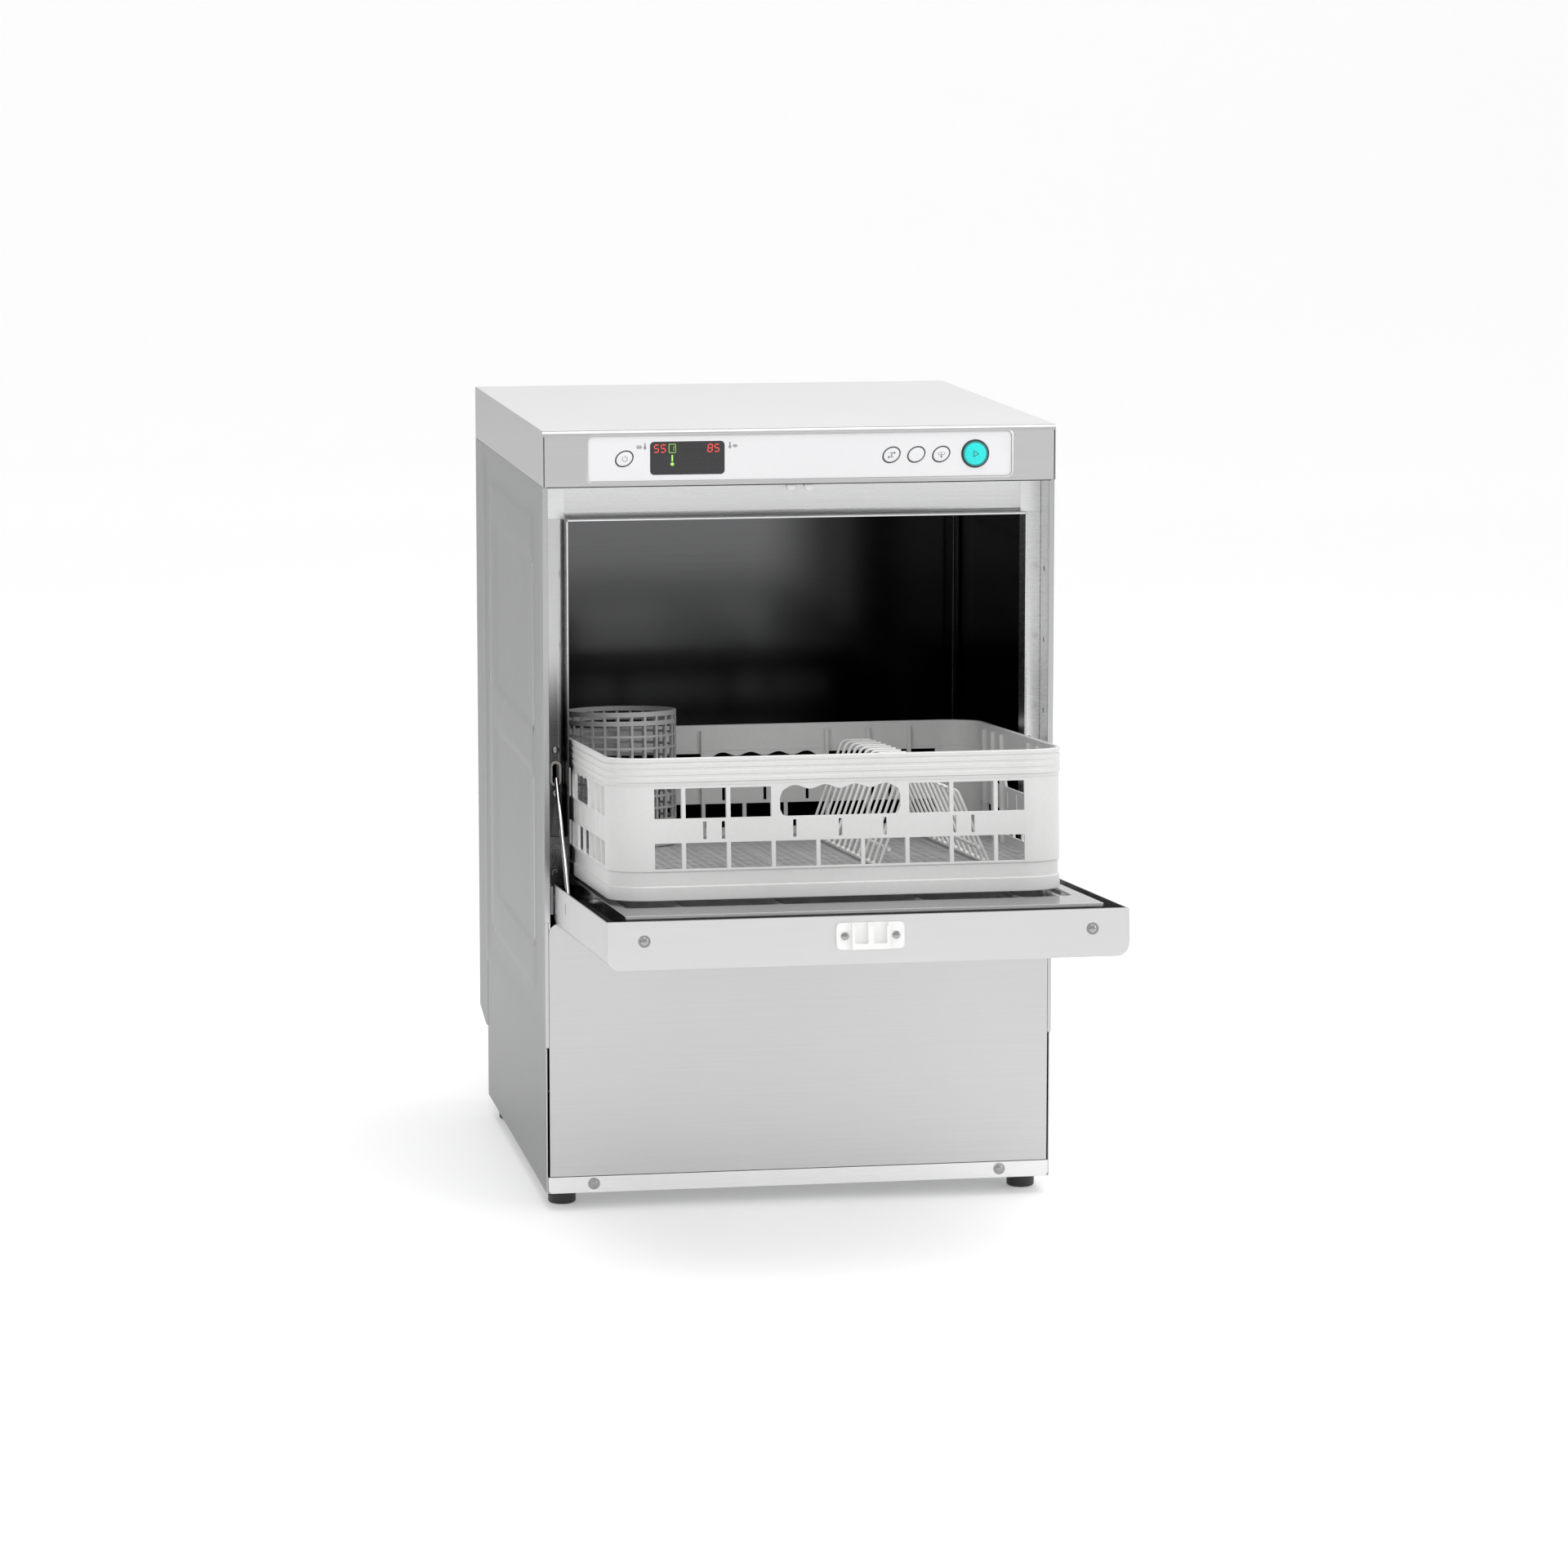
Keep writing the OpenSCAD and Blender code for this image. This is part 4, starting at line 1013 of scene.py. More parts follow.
def emboss(y, z):
    """How far the side panel's outer face lies behind its plane."""
    field = inside(z, 174, 602, 3.5) * inside(y, 74, 404, 16)
    pads = (inside(z, 213.6, 372, 3) + inside(z, 411.5, 566, 3)) * inside(y, 88, 360, 20)
    depth = PAD_DEPTH * (1 - field) + PAD_DEPTH * 0.9 * pads * field
    rim = min(y, side_high.y - y, z - side_low.z, side_high.z - z)
    depth *= soft_step(rim, 6, 22)
    return depth + max(groove_depth(y, z, *groove) for groove in GROOVES)


def spaced(start, end, step, extra=()):
    """Even marks from start to end, and the extra ones between them."""
    count = max(1, round((end - start) / step))
    marks = [start + (end - start) * k / count for k in range(count + 1)]
    return sorted(set(round(m, 3) for m in marks + [e for e in extra if start < e < end]))


def side_panel(name, side, node):
    """A pressed side panel with a narrow front hem and a drilled flange behind it."""
    low, high = side_low, side_high
    steel, inner_steel, flange_steel, groove_painted_shade = range(4)
    near_grooves = [78.4 + d for d in (-4, -2.8, -1.6, 0, 1.6, 2.8, 4)]
    near_grooves += [411 + d for d in (-4, -2.5, -1, 0, 1, 2.5, 4)]
    ys = spaced(low.y + SHEET, high.y - PAD_DEPTH, 6, near_grooves)
    zs = spaced(low.z, high.z, 3.2)

    def place(y, z, skin):
        return (side * (half_width - emboss(y, z) - skin * SHEET), y, z)

    bm = bmesh.new()
    grid_shell(bm, ys, zs, lambda i, j: True, place, inner_index=inner_steel)
    # Faces deep in the grooves take the dark groove steel, as painted shade in the grooves
    for face in bm.faces:
        at = face.calc_center_median()
        if face.material_index == steel and emboss(at.y, at.z) > PAD_DEPTH + GROOVE_DEPTH * 0.42:
            face.material_index = groove_painted_shade
    notch = service_high.z + 0.5
    strips = [(low.z, notch, half_width - service_high.x - 0.2), (notch, high.z, 5.0)]
    for z0, z1, width in strips:
        block(bm, (side * half_width, 0, z0), (side * (half_width - width), SHEET, z1))
    flange = bmesh.new()
    block(flange, (side * (half_width - 3.8), SHEET, low.z), (side * (half_width - 5), 34, high.z))
    holes = bmesh.new()
    for z in (552, 488, 424):
        rod(holes, (side * (half_width - 7), 20, z), (side * (half_width - 3), 20, z), 2.5)
    flange = carve(flange, holes)
    for face in flange.faces:
        face.material_index = flange_steel
    add_shape(bm, flange)
    steels = [PANEL_STEEL, SHADED_CHAMBER_STEEL, JAMB_STEEL, GROOVE_PAINTED_SHADE]
    make(name, bm, CABINET, "cabinet", steels, [node], 0.25, 2, 50)


def build_sides():
    """On each side a pressed panel above and a plain one below."""
    for side, word in ((-1, "left"), (1, "right")):
        side_panel("side_" + word, side, "side_panel_" + word)
    for word in ("left", "right"):
        node = "base_side_" + word
        bm = bmesh.new()
        block(bm, *local_box(node, CABINET))
        make("base_" + word, bm, CABINET, "cabinet", [PANEL_STEEL], [node], 0.5, 3)


def build_front():
    """The lower front panel with rounded upper corners, and the plinth strip under it."""
    low, high = service_low, service_high
    bm = bmesh.new()
    corner = 10
    outline = [(low.x, low.z)]
    for x, first in ((low.x + corner, 180), (high.x - corner, 90)):
        outline += arc((x, high.z - corner), corner, first, first - 90, 8)
    outline.append((high.x, low.z))
    plate_y(bm, outline, 0, SHEET)
    for half, z, back in ((222, 20, 18), (212, 243, 24)):
        block(bm, (-half, SHEET, z), (half, back, z + SHEET))
    steels = [SERVICE_STEEL]
    make("lower_front_panel", bm, CABINET, "cabinet", steels, ["service_panel"], 0.35, 3)
    low, high = local_box("plinth_strip", CABINET)
    bm = bmesh.new()
    block(bm, low, high)
    cuts = bmesh.new()
    for s in (-1, 1):
        x = s * high.x
        corner = [(x + s, low.z - 1), (x - s * 3.4, low.z - 1), (x + s * 0.2, low.z + 3.2)]
        plate_y(cuts, corner[::s], low.y - 1, high.y + 1)
    bm = carve(bm, cuts)
    make("plinth", bm, CABINET, "cabinet", [PLINTH_STEEL], ["plinth_strip"], 0.45, 3)


def build_mouth():
    """The plates and lips round the chamber's mouth, rounded where plate meets lip."""
    sides = (
        # The left jamb takes the darker copy of the jamb steel, as painted shade
        (-1, "left", SHADED_LEFT_JAMB_STEEL, "bracket_steel"),
        (1, "right", JAMB_STEEL, "panel_steel"),
    )
    for side, word, steel, slot in sides:
        low, high = local_box("jamb_" + word, CABINET)
        plate_out, lip_in = (-low.x, -high.x) if side < 0 else (high.x, low.x)
        back, lip_y, bend, foot = high.y, low.y, 5.5, 20
        lip = lip_in + 1.5
        front = [(plate_out, back - SHEET)]
        front += arc((lip + bend, back - SHEET - bend), bend, 90, 180, 7)
        front += [(lip, lip_y + 0.4), (lip - 0.4, lip_y)]
        rear = [(lip_in, lip_y + 0.4), (lip_in, back), (plate_out, back)]
        bm = bmesh.new()
        rings = [[(side * x, y, z) for x, y in front + rear] for z in (low.z + foot, high.z)]
        skin_rings(bm, rings)
        plate_low = (side * plate_out, back - SHEET, low.z)
        block(bm, plate_low, (side * lip_in, back, low.z + foot + 0.2))
        holes = bmesh.new()
        plate_y(holes, rounded_outline(2.6, 8.6, 2.5, 6, (side * JAMB_X, 375)), back - 8, back + 4)
        bm = carve(bm, holes)
        make("mouth_" + word, bm, CABINET, "cabinet", [steel], ["jamb_" + word], 0.2)
    low, high = local_box("front_lintel", CABINET)
    bm = bmesh.new()
    bend, half_mouth = 6.0, 206
    lip_low = low.z + 1.5
    outline = [(low.y, low.z + 0.3), (low.y + 0.5, lip_low)]
    outline += arc((JAMB_FACE - bend, lip_low + bend), bend, -90, 0, 7)
    outline += [(JAMB_FACE, high.z), (JAMB_FACE + SHEET, high.z)]
    outline += [(JAMB_FACE + SHEET, low.z), (low.y + 0.4, low.z)]
    skin_rings(bm, [[(x, y, z) for y, z in outline] for x in (-half_mouth, half_mouth)])
    for end, mouth in ((low.x, -half_mouth), (high.x, half_mouth)):
        block(bm, (end, JAMB_FACE, low.z), (mouth, JAMB_FACE + SHEET, high.z))
    block(bm, (low.x, JAMB_FACE + 1, high.z - SHEET), high)
    make("mouth_top", bm, CABINET, "cabinet", [JAMB_STEEL], ["front_lintel"], 0.2)


def build_feet():
    """Four round feet with ribbed skirts and narrower necks."""
    bm = bmesh.new()
    base = local_box("feet", CABINET)[0].z
    ribs, rib_reach = 20, 12.0
    profile = [(0, base), (10.5, base), (12.4, base + 1.4), (12.6, base + 4), (12.6, -6)]
    profile += [(11.4, -4.4), (9.4, -4), (9.4, -0.05), (0, -0.05)]
    for x in (-211, 211):
        for y in (40, 412):
            lathe(bm, profile, (x, y, 0), UP, 40)
            for t in turns(ribs):
                rib = (x + rib_reach * math.cos(t), y + rib_reach * math.sin(t))
                rod(bm, (*rib, base + 2), (*rib, base + 9.5), 0.68, 8)
    make("feet_detail", bm, CABINET, "cabinet", [FOOT_PLASTIC], ["feet"], 0.25)


def build_back():
    """Cover over the services, with vent slots and screws."""
    low, high = local_box("rear_cover", CABINET)
    knee_y, knee_z = 466, 78
    bm = bmesh.new()
    front = low.y + 0.6
    outer = [(front, high.z), (high.y, high.z), (high.y, knee_z), (knee_y, low.z), (front, low.z)]
    plate_x(bm, outer, low.x, high.x)
    room = bmesh.new()
    t = SHEET
    front = low.y - 3
    inner = [(front, high.z + 3), (high.y - t, high.z + 3), (high.y - t, knee_z + t * 0.6)]
    inner += [(knee_y - t * 0.4, low.z + t), (front, low.z + t)]
    plate_x(room, inner, low.x + t, high.x - t)
    slots, slot_pitch = 12, 16
    for z in (560, 512):
        for k in range(slots):
            x = (k - (slots - 1) / 2) * slot_pitch
            plate_y(room, rounded_outline(2.4, 17, 2.3, 5, (x, z)), high.y - 4, high.y + 3)
    bm = carve(bm, room)
    make("back_cover", bm, CABINET, "cabinet", [PANEL_STEEL], ["rear_cover"], 0.5, 3)
    bm = bmesh.new()
    head = screw_head(3.4, 1.1)
    for s in (-1, 1):
        for z in (110, 350, 610):
            add_shape(bm, head, facing((s * 214, high.y - 1.15, z), BACK, 17 * s + z))
    make("back_cover_screws", bm, CABINET, "cabinet", [SCREW_STEEL], (), 0.12)


# ---------- door ----------


def fold_edges(bm, inset, bend):
    """Rounds the long lower edges and the tip's lower edge of the door's tray."""
    base = skin_low.z + inset + 0.01
    tip = skin_low.y + inset + 0.01
    round_edges(bm, lambda a, b: max(a.z, b.z) < base and abs(a.x - b.x) < 0.1, bend - inset, 8)
    round_edges(bm, lambda a, b: max(a.z, b.z) < base and max(a.y, b.y) < tip, bend - inset, 8)


def build_door():
    """The outer tray with rounded long edges, and the fold along its tip."""
    low, high = skin_low, skin_high
    bend = 11.0
    bm = bmesh.new()
    block(bm, low, high)
    fold_edges(bm, 0, bend)
    room = bmesh.new()
    block(room, low + Vector((SHEET, SHEET, SHEET)), (high.x - SHEET, high.y + 5, high.z + 5))
    fold_edges(room, SHEET, bend)
    bm = carve(bm, room)
    cuts = bmesh.new()
    for s in (-1, 1):
        corner = (s * (high.x - 0.55), low.y - 1, low.z + bend + 1)
        block(cuts, corner, (s * (high.x - 0.05), low.y + 0.5, high.z + 1))
        plate_x(cuts, rounded_outline(1.3, 5.2, 1.2, 5, (-85, 0)), s * high.x - 4, s * high.x + 4)
    bm = carve(bm, cuts)
    for face in bm.faces:
        at = face.calc_center_median()
        if abs(at.x) > high.x - bend and at.y > low.y + bend:
            face.material_index = 1
    steels = [DOOR_STEEL, DOOR_SIDE]
    make("door_shell", bm, DOOR, "door", steels, ["door_outer_skin"], 0.25)
    bm = bmesh.new()
    block(bm, (low.x + 1.0, low.y + 0.9, high.z - 1.1), (high.x - 1.0, low.y + 6, high.z - 0.02))
    make("door_tip_fold", bm, DOOR, "door", [DOOR_STEEL], (), 0.4, 3)


# Fields pressed into the door's inner panel: left and right edge of each, nearest and farthest line
WELLS = ((-190, -150), (-142, -65), (-57, 57), (65, 142), (150, 190))
WELLS_NEAR, WELLS_FAR = 62, 262
WELL_DEPTH = 2.2


def door_pad(x, y):
    """How deep the inner panel is pressed at a point."""
    along = inside(-y, WELLS_NEAR, WELLS_FAR, 4)
    return WELL_DEPTH * along * sum(inside(x, a, b, 3.2) for a, b in WELLS)


def build_door_liner():
    """The bright inner panel with pressed fields, the sunk channel round it, and the seal."""
    hw, end, start = 203.5, -334.5, -10
    top = local_box("door_inner_panel", DOOR)[1].z
    xs = spaced(-hw, hw, 9, [e + d for well in WELLS for e in well for d in (-3.2, -1, 1, 3.2)])
    marks = [-WELLS_FAR + d for d in (-4, -2, 0, 2, 4)] + [-WELLS_NEAR + d for d in (-4, 0, 4)]
    ys = spaced(end, start, 9, marks)

    def place(x, y, skin):
        return (x, y, top - door_pad(x, y) - skin * SHEET)

    bm = bmesh.new()
    grid_shell(bm, xs, ys, lambda i, j: True, place)
    floor = -10.0
    for s in (-1, 1):
        block(bm, (s * hw, end, floor), (s * (hw - SHEET), start, top - 0.5))
    block(bm, (-hw, end, floor), (hw, end + SHEET, top - 0.5))
    steels = [LINER_STEEL]
    make("door_liner", bm, DOOR, "door", steels, ["door_inner_panel"], 0.35, 3, 40)
    # Sunk channel round the liner, dark down in the gap
    bm = bmesh.new()
    outer_x = skin_high.x - SHEET - 4.1
    tip = skin_low.y + 1.3
    for s in (-1, 1):
        block(bm, (s * outer_x, tip, floor), (s * (hw - 1), -8, floor + SHEET))
        block(bm, (s * outer_x, tip, skin_low.z + 12.2), (s * (outer_x - SHEET), tip + 59, floor + 1))
    block(bm, (-outer_x, tip, floor), (outer_x, end + 1, floor + SHEET))
    make("door_channel", bm, DOOR, "door", [DARK_STEEL], (), 0.3)
    # Seal with a soft lip that leans outwards
    bm = bmesh.new()
    top, seal_w = 2.2, 6.6
    section = [(1.2, floor + SHEET), (1.2, top - 2.6), (2.2, top - 1.0), (3.4, top - 0.2)]
    section += [(4.6, top - 0.1), (5.8, top - 1.2), (6.4, top - 3.2), (5.6, top - 4.6)]
    section += [(seal_w, floor + 3.4), (seal_w, floor + SHEET)]
    for s in (-1, 1):
        skin_rings(bm, [[(s * (hw + o), y, n) for o, n in section] for y in (end - 1.2, -24)])
    skin_rings(bm, [[(x, end - o, n) for o, n in section] for x in (-hw - seal_w, hw + seal_w)])
    make("door_seal", bm, DOOR, "door", [BLACK_RUBBER], ["door_gasket"], 0.3, 2, 60)


def build_latch():
    """The white latch with two pockets at the door's tip, and the two tabs under the lid it meets."""
    low, high = local_box("door_latch", DOOR)
    tip, mid = skin_low.y, -2.0
    bm = bmesh.new()
    plate_y(bm, rounded_outline(28.8, 11.2, 4, 6, (0, mid)), tip - 2.5, tip - 0.05)
    block(bm, (-16, low.y, low.z + 0.2), (16, tip - 1, low.z + 22.4))
    cuts = bmesh.new()
    for x in (-8, 8):
        plate_y(cuts, rounded_outline(5.6, 9.8, 1.4, 4, (x, mid + 3.2)), low.y - 2, tip - 0.9)
    block(cuts, (-14.6, low.y - 2, 6.4), (14.6, low.y + 2.4, 15))
    bm = carve(bm, cuts, True)
    block(bm, (-1.0, low.y + 1.6, mid - 6), (1.0, tip - 0.9, mid + 8))
    make("door_latch_detail", bm, DOOR, "door", [WHITE_PLASTIC], ["door_latch"], 0.7, 4)
    low, high = local_box("catch_tabs", CABINET)
    chamfer = low.z + 2.5
    bm = bmesh.new()
    for x in (-8, 8):
        left = [(x - 4, high.z), (x - 4, chamfer), (x - 2.2, low.z)]
        right = [(x + 2.2, low.z), (x + 4, chamfer), (x + 4, high.z)]
        plate_y(bm, left + right, low.y, high.y)
    plastics = [WHITE_PLASTIC]
    make("catch_tabs_detail", bm, CABINET, "cabinet", plastics, ["catch_tabs"], 0.6, 4)


# ---------- rack ----------

RACK_R = 38.0
CELL, CELL_RIB = 38.6, 3.6
HOLE_HALF = 52.0
FLOOR_W = 17.0
SLOTS = (-117, -101, -39.5, 0, 38.5, 99, 115)
SLOT_HALF = 1.4
# How far the outer skin lies behind the nominal outline, and the thickness of the walls
SKIN_INSET, WALL = 1.4, 2.6
# Lower and upper edge of the big windows, the slots, and the row with the hand hole
WINDOW_ROW, SLOT_ROW, HOLE_ROW = (27, 49), (52, 67), (70, 95.5)
BAND_LOW, BAND_TOP = 25.2, 98
BAND = [BAND_LOW, *WINDOW_ROW, *SLOT_ROW, *HOLE_ROW, BAND_TOP]
rack_hw = rack_high.x + WALL_INSET
rack_depth = rack_high.y - rack_low.y + 2 * WALL_INSET
# Each wall: its middle, the way it runs, its outward normal and half the length of its flat part
WALLS = [
    ((0, 0), (1, 0), (0, -1), rack_hw - RACK_R),
    ((rack_hw, rack_depth / 2), (0, 1), (1, 0), rack_depth / 2 - RACK_R),
    ((0, rack_depth), (-1, 0), (0, 1), rack_hw - RACK_R),
    ((-rack_hw, rack_depth / 2), (0, -1), (-1, 0), rack_depth / 2 - RACK_R),
]
WALLS = [(*(Vector(part) for part in wall[:3]), wall[3]) for wall in WALLS]


def window_edges():
    """Near and far edge of each window, counted along a wall from its middle."""
    half, last_edge = (CELL - CELL_RIB) / 2, 160
    return [(k * CELL - half, min(k * CELL + half, last_edge)) for k in range(5)]


def wall_marks():
    """Places along a wall at which its mesh has a column of points."""
    marks = {m for a, b in window_edges() for m in (a, b) if m > 0}
    marks |= {-m for m in marks}
    marks |= {x + d for x in SLOTS for d in (-SLOT_HALF, SLOT_HALF)}
    marks |= {-HOLE_HALF + 2 * k for k in range(int(HOLE_HALF) + 1)}
    kept, closest = [], 0.35
    for m in sorted(marks):
        if not kept or m - kept[-1] > closest or abs(m) == HOLE_HALF:
            kept.append(m)
    return kept


def stations():
    """Places round the rack's outline, as (point, outward normal, wall or None, distance along the wall)."""
    made = []
    for number, (m, d, n, half) in enumerate(WALLS):
        for t in [-half] + wall_marks() + [half]:
            made.append((m + d * t, n, number, t))
        centre = m + d * half - n * RACK_R
        for k in range(1, 10):
            turn = math.radians(9 * k)
            out = n * math.cos(turn) + d * math.sin(turn)
            made.append((centre + out * RACK_R, out, None, 0.0))
    return made


STATIONS = stations()


def hole_edge(along, upper):
    """Height of the hand hole's edge at a distance from its middle, with a wavy top for the fingers."""
    away = abs(along)
    radius = 9.0 if upper else 6.0
    bulge = max(away - (HOLE_HALF - radius), 0)
    rounding = radius - math.sqrt(max(radius * radius - bulge * bulge, 0))
    if not upper:
        return HOLE_ROW[0] + rounding
    wave_height, wave_length = 1.7, 26
    wave = -wave_height * math.cos(2 * math.pi * along / wave_length) * (1 - soft_step(away, 44, 50))
    return HOLE_ROW[1] - 0.9 + wave - rounding


def band_solid(i, j):
    """Whether the wall is solid in one cell of its mesh."""
    here, there = STATIONS[i], STATIONS[(i + 1) % len(STATIONS)]
    if here[2] is None or here[2] != there[2]:
        return True
    at = (here[3] + there[3]) / 2
    row = (BAND[j], BAND[j + 1])
    in_window = any(a < abs(at) < b for a, b in window_edges())
    if row == WINDOW_ROW:
        return not in_window
    if row == SLOT_ROW:
        return not any(abs(at - x) < SLOT_HALF for x in SLOTS)
    if row == HOLE_ROW:
        return not (abs(at) < HOLE_HALF or (in_window and abs(at) > HOLE_HALF + 6))
    return True


def band_point(station, height, skin):
    """A point of the wall's outer or inner skin."""
    point, normal, wall_number, along = station
    if wall_number is not None and abs(along) <= HOLE_HALF + 0.01 and height in HOLE_ROW:
        height = hole_edge(along, height == HOLE_ROW[1])
    spot = point - normal * (SKIN_INSET + skin * WALL)
    return (spot.x, spot.y, height)


def swept_ring(bm, section, index=0):
    """A closed section of (inset, height) points carried round the rack's outline."""
    rings = []
    for point, normal, wall_number, along in STATIONS:
        if wall_number is not None and abs(along) < WALLS[wall_number][3] - 0.1:
            continue
        rings.append([(point.x - normal.x * o, point.y - normal.y * o, w) for o, w in section])
    skin_rings(bm, rings, closed=True, index=index)


# Sections of the stepped rim and of the base, as (inset, height)
RIM_FACE, RIM_STEP = 0.25, 0.8
RIM = [
    (SKIN_INSET, BAND_TOP), (SKIN_INSET, 100.8), (RIM_FACE, 101.3), (RIM_FACE, 104.3),
    (RIM_STEP, 104.7), (RIM_STEP, 106.9), (RIM_FACE, 107.3), (RIM_FACE, 110.3),
    (RIM_STEP, 110.7), (RIM_STEP, 112.9), (RIM_FACE, 113.3), (RIM_FACE, 116.3),
    (1.0, 116.8), (1.0, 117.9), (RIM_FACE, 118.3), (RIM_FACE, 121.0),
    (1.1, 121.9), (3.2, 121.9), (SKIN_INSET + WALL, 121.2), (SKIN_INSET + WALL, BAND_TOP),
]
BASE = [
    (3.4, 0), (1.9, 0.5), (SKIN_INSET, 1.6), (SKIN_INSET, 11.8), (2.6, 12.6), (2.6, 24.2),
    (SKIN_INSET, BAND_LOW), (SKIN_INSET + WALL, BAND_LOW), (4.8, 12), (4.8, 0),
]


def chord(point, direction, inset):
    """The two ends of a line inside the rack's floor, as distances along it, found by halving."""
    def within(p):
        x = abs(p.x) - (rack_hw - RACK_R)
        y = abs(p.y - rack_depth / 2) - (rack_depth / 2 - RACK_R)
        if x > 0 and y > 0:
            return math.hypot(x, y) < RACK_R - inset
        return x < RACK_R - inset and y < RACK_R - inset

    if not within(point):
        return None
    ends, halvings = [], 18
    for s in (-1, 1):
        near, far = 0.0, 600.0
        for _ in range(halvings):
            half = (near + far) / 2
            if within(point + direction * half * s):
                near = half
            else:
                far = half
        ends.append(near * s)
    return ends


def bar(bm, a, b, width, z0, z1, index=0):
    """A flat bar between two points of the floor."""
    a, b = Vector(a), Vector(b)
    d = (b - a).normalized()
    n = Vector((-d.y, d.x)) * width / 2
    outline = [a + n, b + n, b - n, a - n]
    skin_rings(bm, [[(p.x, p.y, z) for p in outline] for z in (z0, z1)], index=index)


def build_rack_walls():
    """Walls with windows, slots and hand holes, between the rim and the base, and ribs inside them."""
    bm = bmesh.new()
    grid_shell(bm, STATIONS, BAND, band_solid, band_point, closed=True)
    swept_ring(bm, RIM)
    swept_ring(bm, BASE)
    cup_low, cup_high = local_box("cutlery_cup", RACK)
    for m, d, n, _ in WALLS:
        for k in (-3.5, -2.5, -1.5, 1.5, 2.5, 3.5):
            spot = m + d * k * CELL
            by_cup = cup_low.x - 4 < spot.x < cup_high.x and cup_low.y < spot.y < cup_high.y
            if by_cup and abs(n.x) > 0.5:
                continue
            bar(bm, spot - n * 3.8, spot - n * 7.2, 3.4, 2.5, 116.5)
    make("rack_walls", bm, RACK, "rack", [RACK_PLASTIC], ["rack_basket"], 0.3, 2, 28)


def floor_bar(bm, direction, offset, width, z0, z1):
    """A bar right across the floor, at a distance from its middle."""
    point = Vector((0, rack_depth / 2)) + Vector((-direction.y, direction.x)) * offset
    ends = chord(point, direction, 4.4)
    if ends:
        bar(bm, point + direction * ends[0], point + direction * ends[1], width, z0, z1)


def build_rack_floor():
    """A fine slanting lattice on a frame of wider bars."""
    bm = bmesh.new()
    for k in range(-5, 6):
        for direction in (Vector((1, 0)), Vector((0, 1))):
            floor_bar(bm, direction, k * CELL, 3.4, FLOOR_W, FLOOR_W + WALL)
    lattice_step, lattice_slope = 8.6, 0.62
    for slant, z0 in ((1, FLOOR_W + 1.0), (-1, FLOOR_W + 1.4)):
        direction = Vector((1, slant * lattice_slope)).normalized()
        for k in range(-34, 35):
            floor_bar(bm, direction, k * lattice_step, 2.9, z0, z0 + 1.5)
    make("rack_floor", bm, RACK, "rack", [FLOOR_PLASTIC], (), 0)


def build_rack_feet():
    """Two pins moulded across the front edge, which ride on the door."""
    bm = bmesh.new()
    for s in (-1, 1):
        start, end = [FEET_LINE + Vector((s * x, 0, 0)) for x in (143, 157)]
        rod(bm, start, end, 3.9, 28)
    plastics = [RACK_PLASTIC]
    make("rack_feet_pins", bm, RACK, "front_feet", plastics, ["rack_front_feet"], 0.4, 3)


def build_cup():
    """A round basket of square openings with two hoops and a slotted bottom."""
    low, high = local_box("cutlery_cup", RACK)
    middle_x, middle_y = (low.x + high.x) / 2, (low.y + high.y) / 2
    radius, height = (high.x - low.x) / 2, high.z - low.z
    columns, bar_share = 25, 0.19
    column_marks = (bar_share / 2, 0.5, 1 - bar_share / 2)
    marks = [(k + part) / columns * 2 * math.pi for k in range(columns) for part in column_marks]
    pitch, rib, rows = 10.8, 2.2, 9
    top = height - 12.6
    vs = [0.0]
    for k in range(rows, 0, -1):
        vs += [top - k * pitch + rib, top - (k - 1) * pitch]
    vs += [height - 8.2, height - 4.5, height - 1.2]
    open_rows = set(range(1, 2 * rows, 2)) | {2 * rows + 1}

    def is_solid(i, j):
        return i % 3 == 2 or j not in open_rows

    def place(turn, v, skin):
        taper = 0.0 if v > height - 12 else 0.9 * (v / height - 1)
        r = radius + taper - 0.05 - skin * 2.2
        return (middle_x + r * math.cos(turn), middle_y + r * math.sin(turn), low.z + v)

    bm = bmesh.new()
    grid_shell(bm, marks, vs, is_solid, place, closed=True)
    hoop_w = 3.0
    for z, thick in ((height - 2.3, 2.25), (height - 10.4, 2.0)):
        section = [(0, z - thick), (0, z + thick), (-hoop_w, z + thick), (-hoop_w, z - thick)]
        rings = []
        for t in turns(72):
            reaches = [(radius + o - 0.02, low.z + h) for o, h in section]
            rings.append([(middle_x + r * math.cos(t), middle_y + r * math.sin(t), h) for r, h in reaches])
        skin_rings(bm, rings, closed=True)
    centre = Vector((middle_x, middle_y))
    for k in range(-4, 5):
        half = math.sqrt(max((radius - 2.5) ** 2 - (k * pitch) ** 2, 0))
        for along, thick in ((Vector((1, 0)), 2.4), (Vector((0, 1)), 2.3)):
            spot = centre + Vector((along.y, along.x)) * k * pitch
            bar(bm, spot - along * half, spot + along * half, 3.0, low.z, low.z + thick)
    make("cutlery_cup_detail", bm, RACK, "cup", [CUP_SHADED_PLASTIC], ["cutlery_cup"], 0.35, 2, 40)


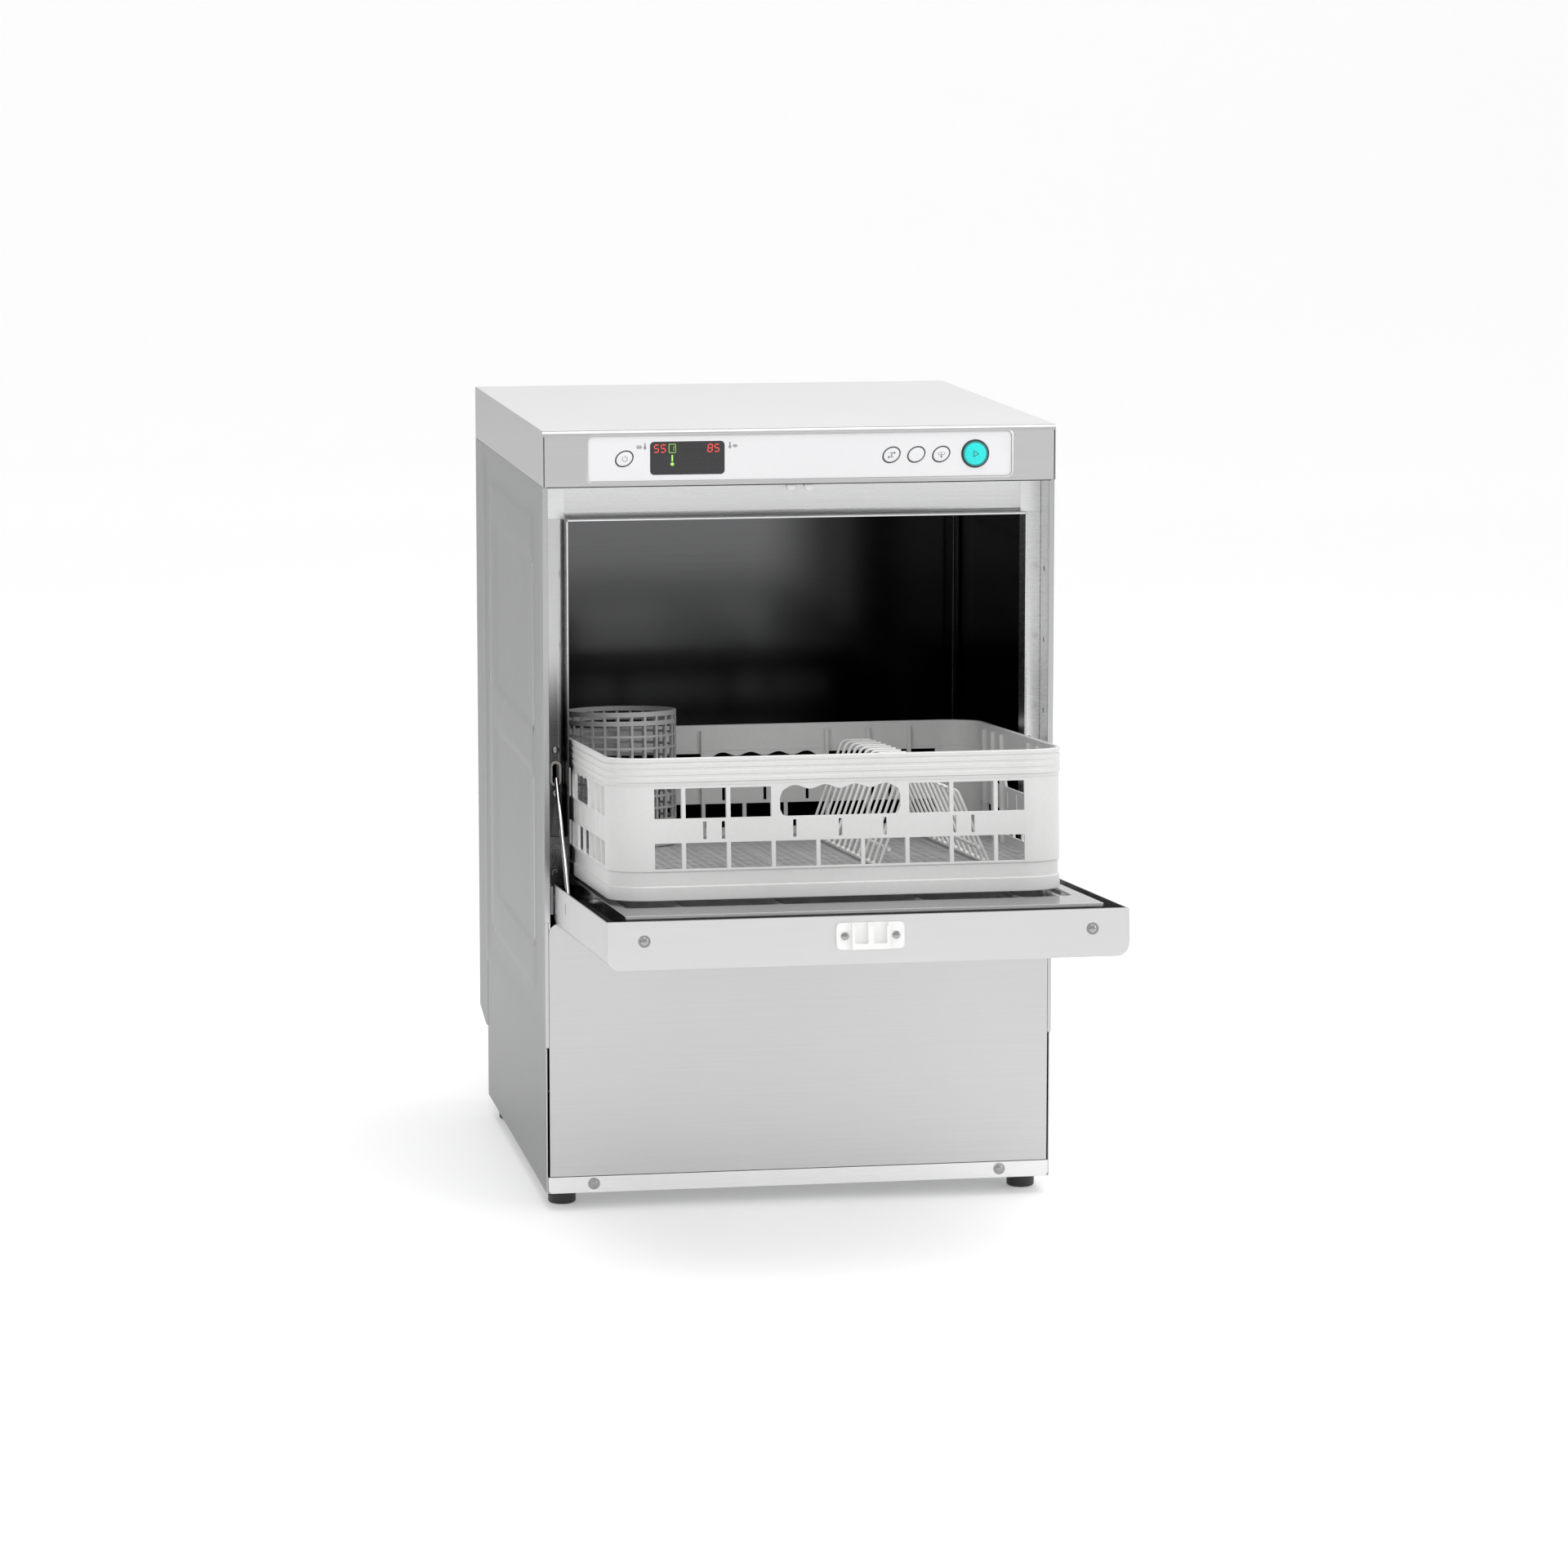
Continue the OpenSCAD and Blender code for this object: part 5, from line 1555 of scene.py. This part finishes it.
def build_insert(name, node, body, side):
    """A comb of leaning wires with bent-over tops, on one rail at their feet and one behind them."""
    low, high = local_box(node, RACK)
    wires, wire_r, rail_r, bend = 15, 1.35, 1.7, 5.0
    weld = [(0, -2.1), (1.6, -1.5), (2.2, 0), (1.6, 1.5), (0, 2.1)]
    rail_z, top = low.z + 1.8, high.z - 1.6
    foot, far = (low.x + 1.8, high.x - 0.3) if side > 0 else (high.x - 1.8, low.x + 0.3)
    lean = 31 if side > 0 else 28
    first, last = low.y + 3, high.y - 3
    bm = bmesh.new()
    for k in range(wires):
        y = first + (last - first) * k / (wires - 1)
        corners = [(foot, y, rail_z), (foot + side * lean, y, top), (far, y, top)]
        tube(bm, rounded_path(corners, bend), wire_r, 10)
        lathe(bm, weld, (foot, y, rail_z + 1.0), UP, 10)
    tie_up = 15
    tie_x = foot + side * (lean * tie_up / (top - rail_z) + 3.4)
    for x, z in ((foot, rail_z), (tie_x, rail_z + tie_up)):
        tube(bm, [(x, low.y + 0.1, z), (x, high.y - 0.1, z)], rail_r, 10)
    make(name, bm, RACK, body, [COATED_WIRE], [node], 0, angle=60)


# ---------- what else is seen ----------


def build_rods():
    """Bright rods that steady the door, each with a flattened eye at its lower end."""
    eye = [(0, -1.9), (4.1, -1.9), (4.35, -1.2), (4.35, 1.2), (4.1, 1.9), (0, 1.9)]
    for word in ("left", "right"):
        node, body = "door_rod_" + word, "rod_" + word
        pivot = CABINET.inverted() @ Vector(joints[body + "_pivot"]["pos_m"])
        tip = max(local_points(node, CABINET), key=lambda p: (p - pivot).length)
        tip = Vector((pivot.x, tip.y, tip.z))
        way = (tip - pivot).normalized()
        bm = bmesh.new()
        tube(bm, [pivot + way * 3.2, tip - way * 1.5], 1.95, 18)
        lathe(bm, eye, pivot, (1, 0, 0), 28)
        make(node + "_detail", bm, CABINET, body, [BRIGHT_METAL], [node], 0.2)


def squared(value):
    """A cosine or sine bulged out towards a rounded square."""
    return math.copysign(abs(value) ** 0.6, value)


def build_arm(node, body):
    """A spray arm: hub, tapered blades with rounded edges, and a row of jets."""
    low, high = local_box(node, CABINET)
    centre = CABINET.inverted() @ Vector(joints[body + "_spin"]["pos_m"])
    spokes = [p - centre for p in local_points(node, CABINET)]
    far = max(spokes, key=lambda p: math.hypot(p.x, p.y))
    reach = math.hypot(far.x, far.y) - 0.6
    width = 15.0 if "rinse" in node else 31.0
    # Jets stand on the lower arms and hang from the upper ones
    jet_side = -1 if "upper" in node else 1
    jet_room = 1.6
    z0, z1 = (low.z, high.z - jet_room) if jet_side > 0 else (low.z + jet_room, high.z)
    mid = (z0 + z1) / 2
    sections = 32
    bm = bmesh.new()
    rings = []
    for k in range(sections + 1):
        x = -reach + 2 * reach * k / sections
        out = abs(x) / reach
        past = max(abs(x) - (reach - width / 2), 0) / (width / 2)
        near_end = min(1.0, math.sqrt(max(1 - past ** 2, 0.0004)))
        half = width / 2 * near_end * (1.0 - 0.16 * out)
        tall = (z1 - z0) / 2 * (0.55 + 0.45 * near_end) * (1 - 0.25 * out)
        rings.append([(x, half * squared(math.cos(t)), mid + tall * squared(math.sin(t))) for t in turns(24)])
    skin_rings(bm, rings)
    hub = [(0, z0), (20, z0), (20.8, z0 + 1), (20.8, z1 - 1), (20, z1), (0, z1)]
    lathe(bm, hub, ORIGIN, UP, 40)
    holes = bmesh.new()
    rod(holes, (0, 0, z0 - 3), (0, 0, z1 + 3), 8.3, 40)
    bm = carve(bm, holes)
    jet = [(0, -1), (4.6, -1), (4.4, 1.6), (2.6, 2.4), (1.6, 1.2), (0, 1.2)]
    face = z1 - 1.0 if jet_side > 0 else z0 + 1.0
    jet_pitch, hub_room = 42, 30
    x = -reach + 18
    while x < reach - 17:
        if abs(x) > hub_room:
            lathe(bm, jet, (x, 0, face), (0, 0, jet_side), 20)
        x += jet_pitch
    turn = Matrix.Rotation(math.atan2(far.y, far.x), 4, "Z")
    place = CABINET @ Matrix.Translation((centre.x, centre.y, 0)) @ turn
    make(node + "_detail", bm, place, body, [ARM_PLASTIC], [node], 0.2, 2, 45)


# The CAD nodes that show as they are, by material
CAD_LOOKS = (
    (SHADED_CHAMBER_STEEL, "rear_panel chamber_ceiling wash_tank rack_rail_left rack_rail_right tank_filter"),
    (BRACKET_STEEL, "hinge_brackets boiler tank_heater door_hinge_arms"),
    (PANEL_STEEL, "base_pan"),
    (PUMP_PLASTIC, "control_tray wash_pump drain_pump drain_outlet dosing_pump standpipe"),
    (ARM_PLASTIC, "rinse_riser arm_posts"),
    (FOOT_PLASTIC, "cable_gland"),
    (VALVE_PLASTIC, "inlet_valve"),
    (GROMMET, "slot_grommets"),
    (BOARD, "control_board"),
)


def dress_cad_nodes():
    """Gives each of them a finished material and slightly rounded edges."""
    for material, nodes in CAD_LOOKS:
        for node in nodes.split():
            shown = frame["nodes"][node]
            shown.data.materials.clear()
            shown.data.materials.append(material)
            weld = shown.modifiers.new("weld", "WELD")
            weld.merge_threshold = 0.002 * MM
            rounding = shown.modifiers.new("edges", "BEVEL")
            rounding.width = 0.35 * MM
            rounding.segments = 2
            rounding.limit_method = "ANGLE"
            rounding.angle_limit = math.radians(40)
            weighted = shown.modifiers.new("shading", "WEIGHTED_NORMAL")
            weighted.keep_sharp = False


build_screws()
build_lid()
build_overlay()
build_display()
build_buttons()
build_sides()
build_front()
build_mouth()
build_feet()
build_back()
build_door()
build_door_liner()
build_latch()
build_rack_walls()
build_rack_floor()
build_rack_feet()
build_cup()
build_insert("tall_insert_wires", "insert_tall", "tall_insert", 1)
build_insert("low_insert_wires", "insert_low", "low_insert", -1)
build_rods()
for arm in ("lower_wash", "lower_rinse", "upper_wash", "upper_rinse"):
    build_arm(arm + "_arm", arm)
dress_cad_nodes()
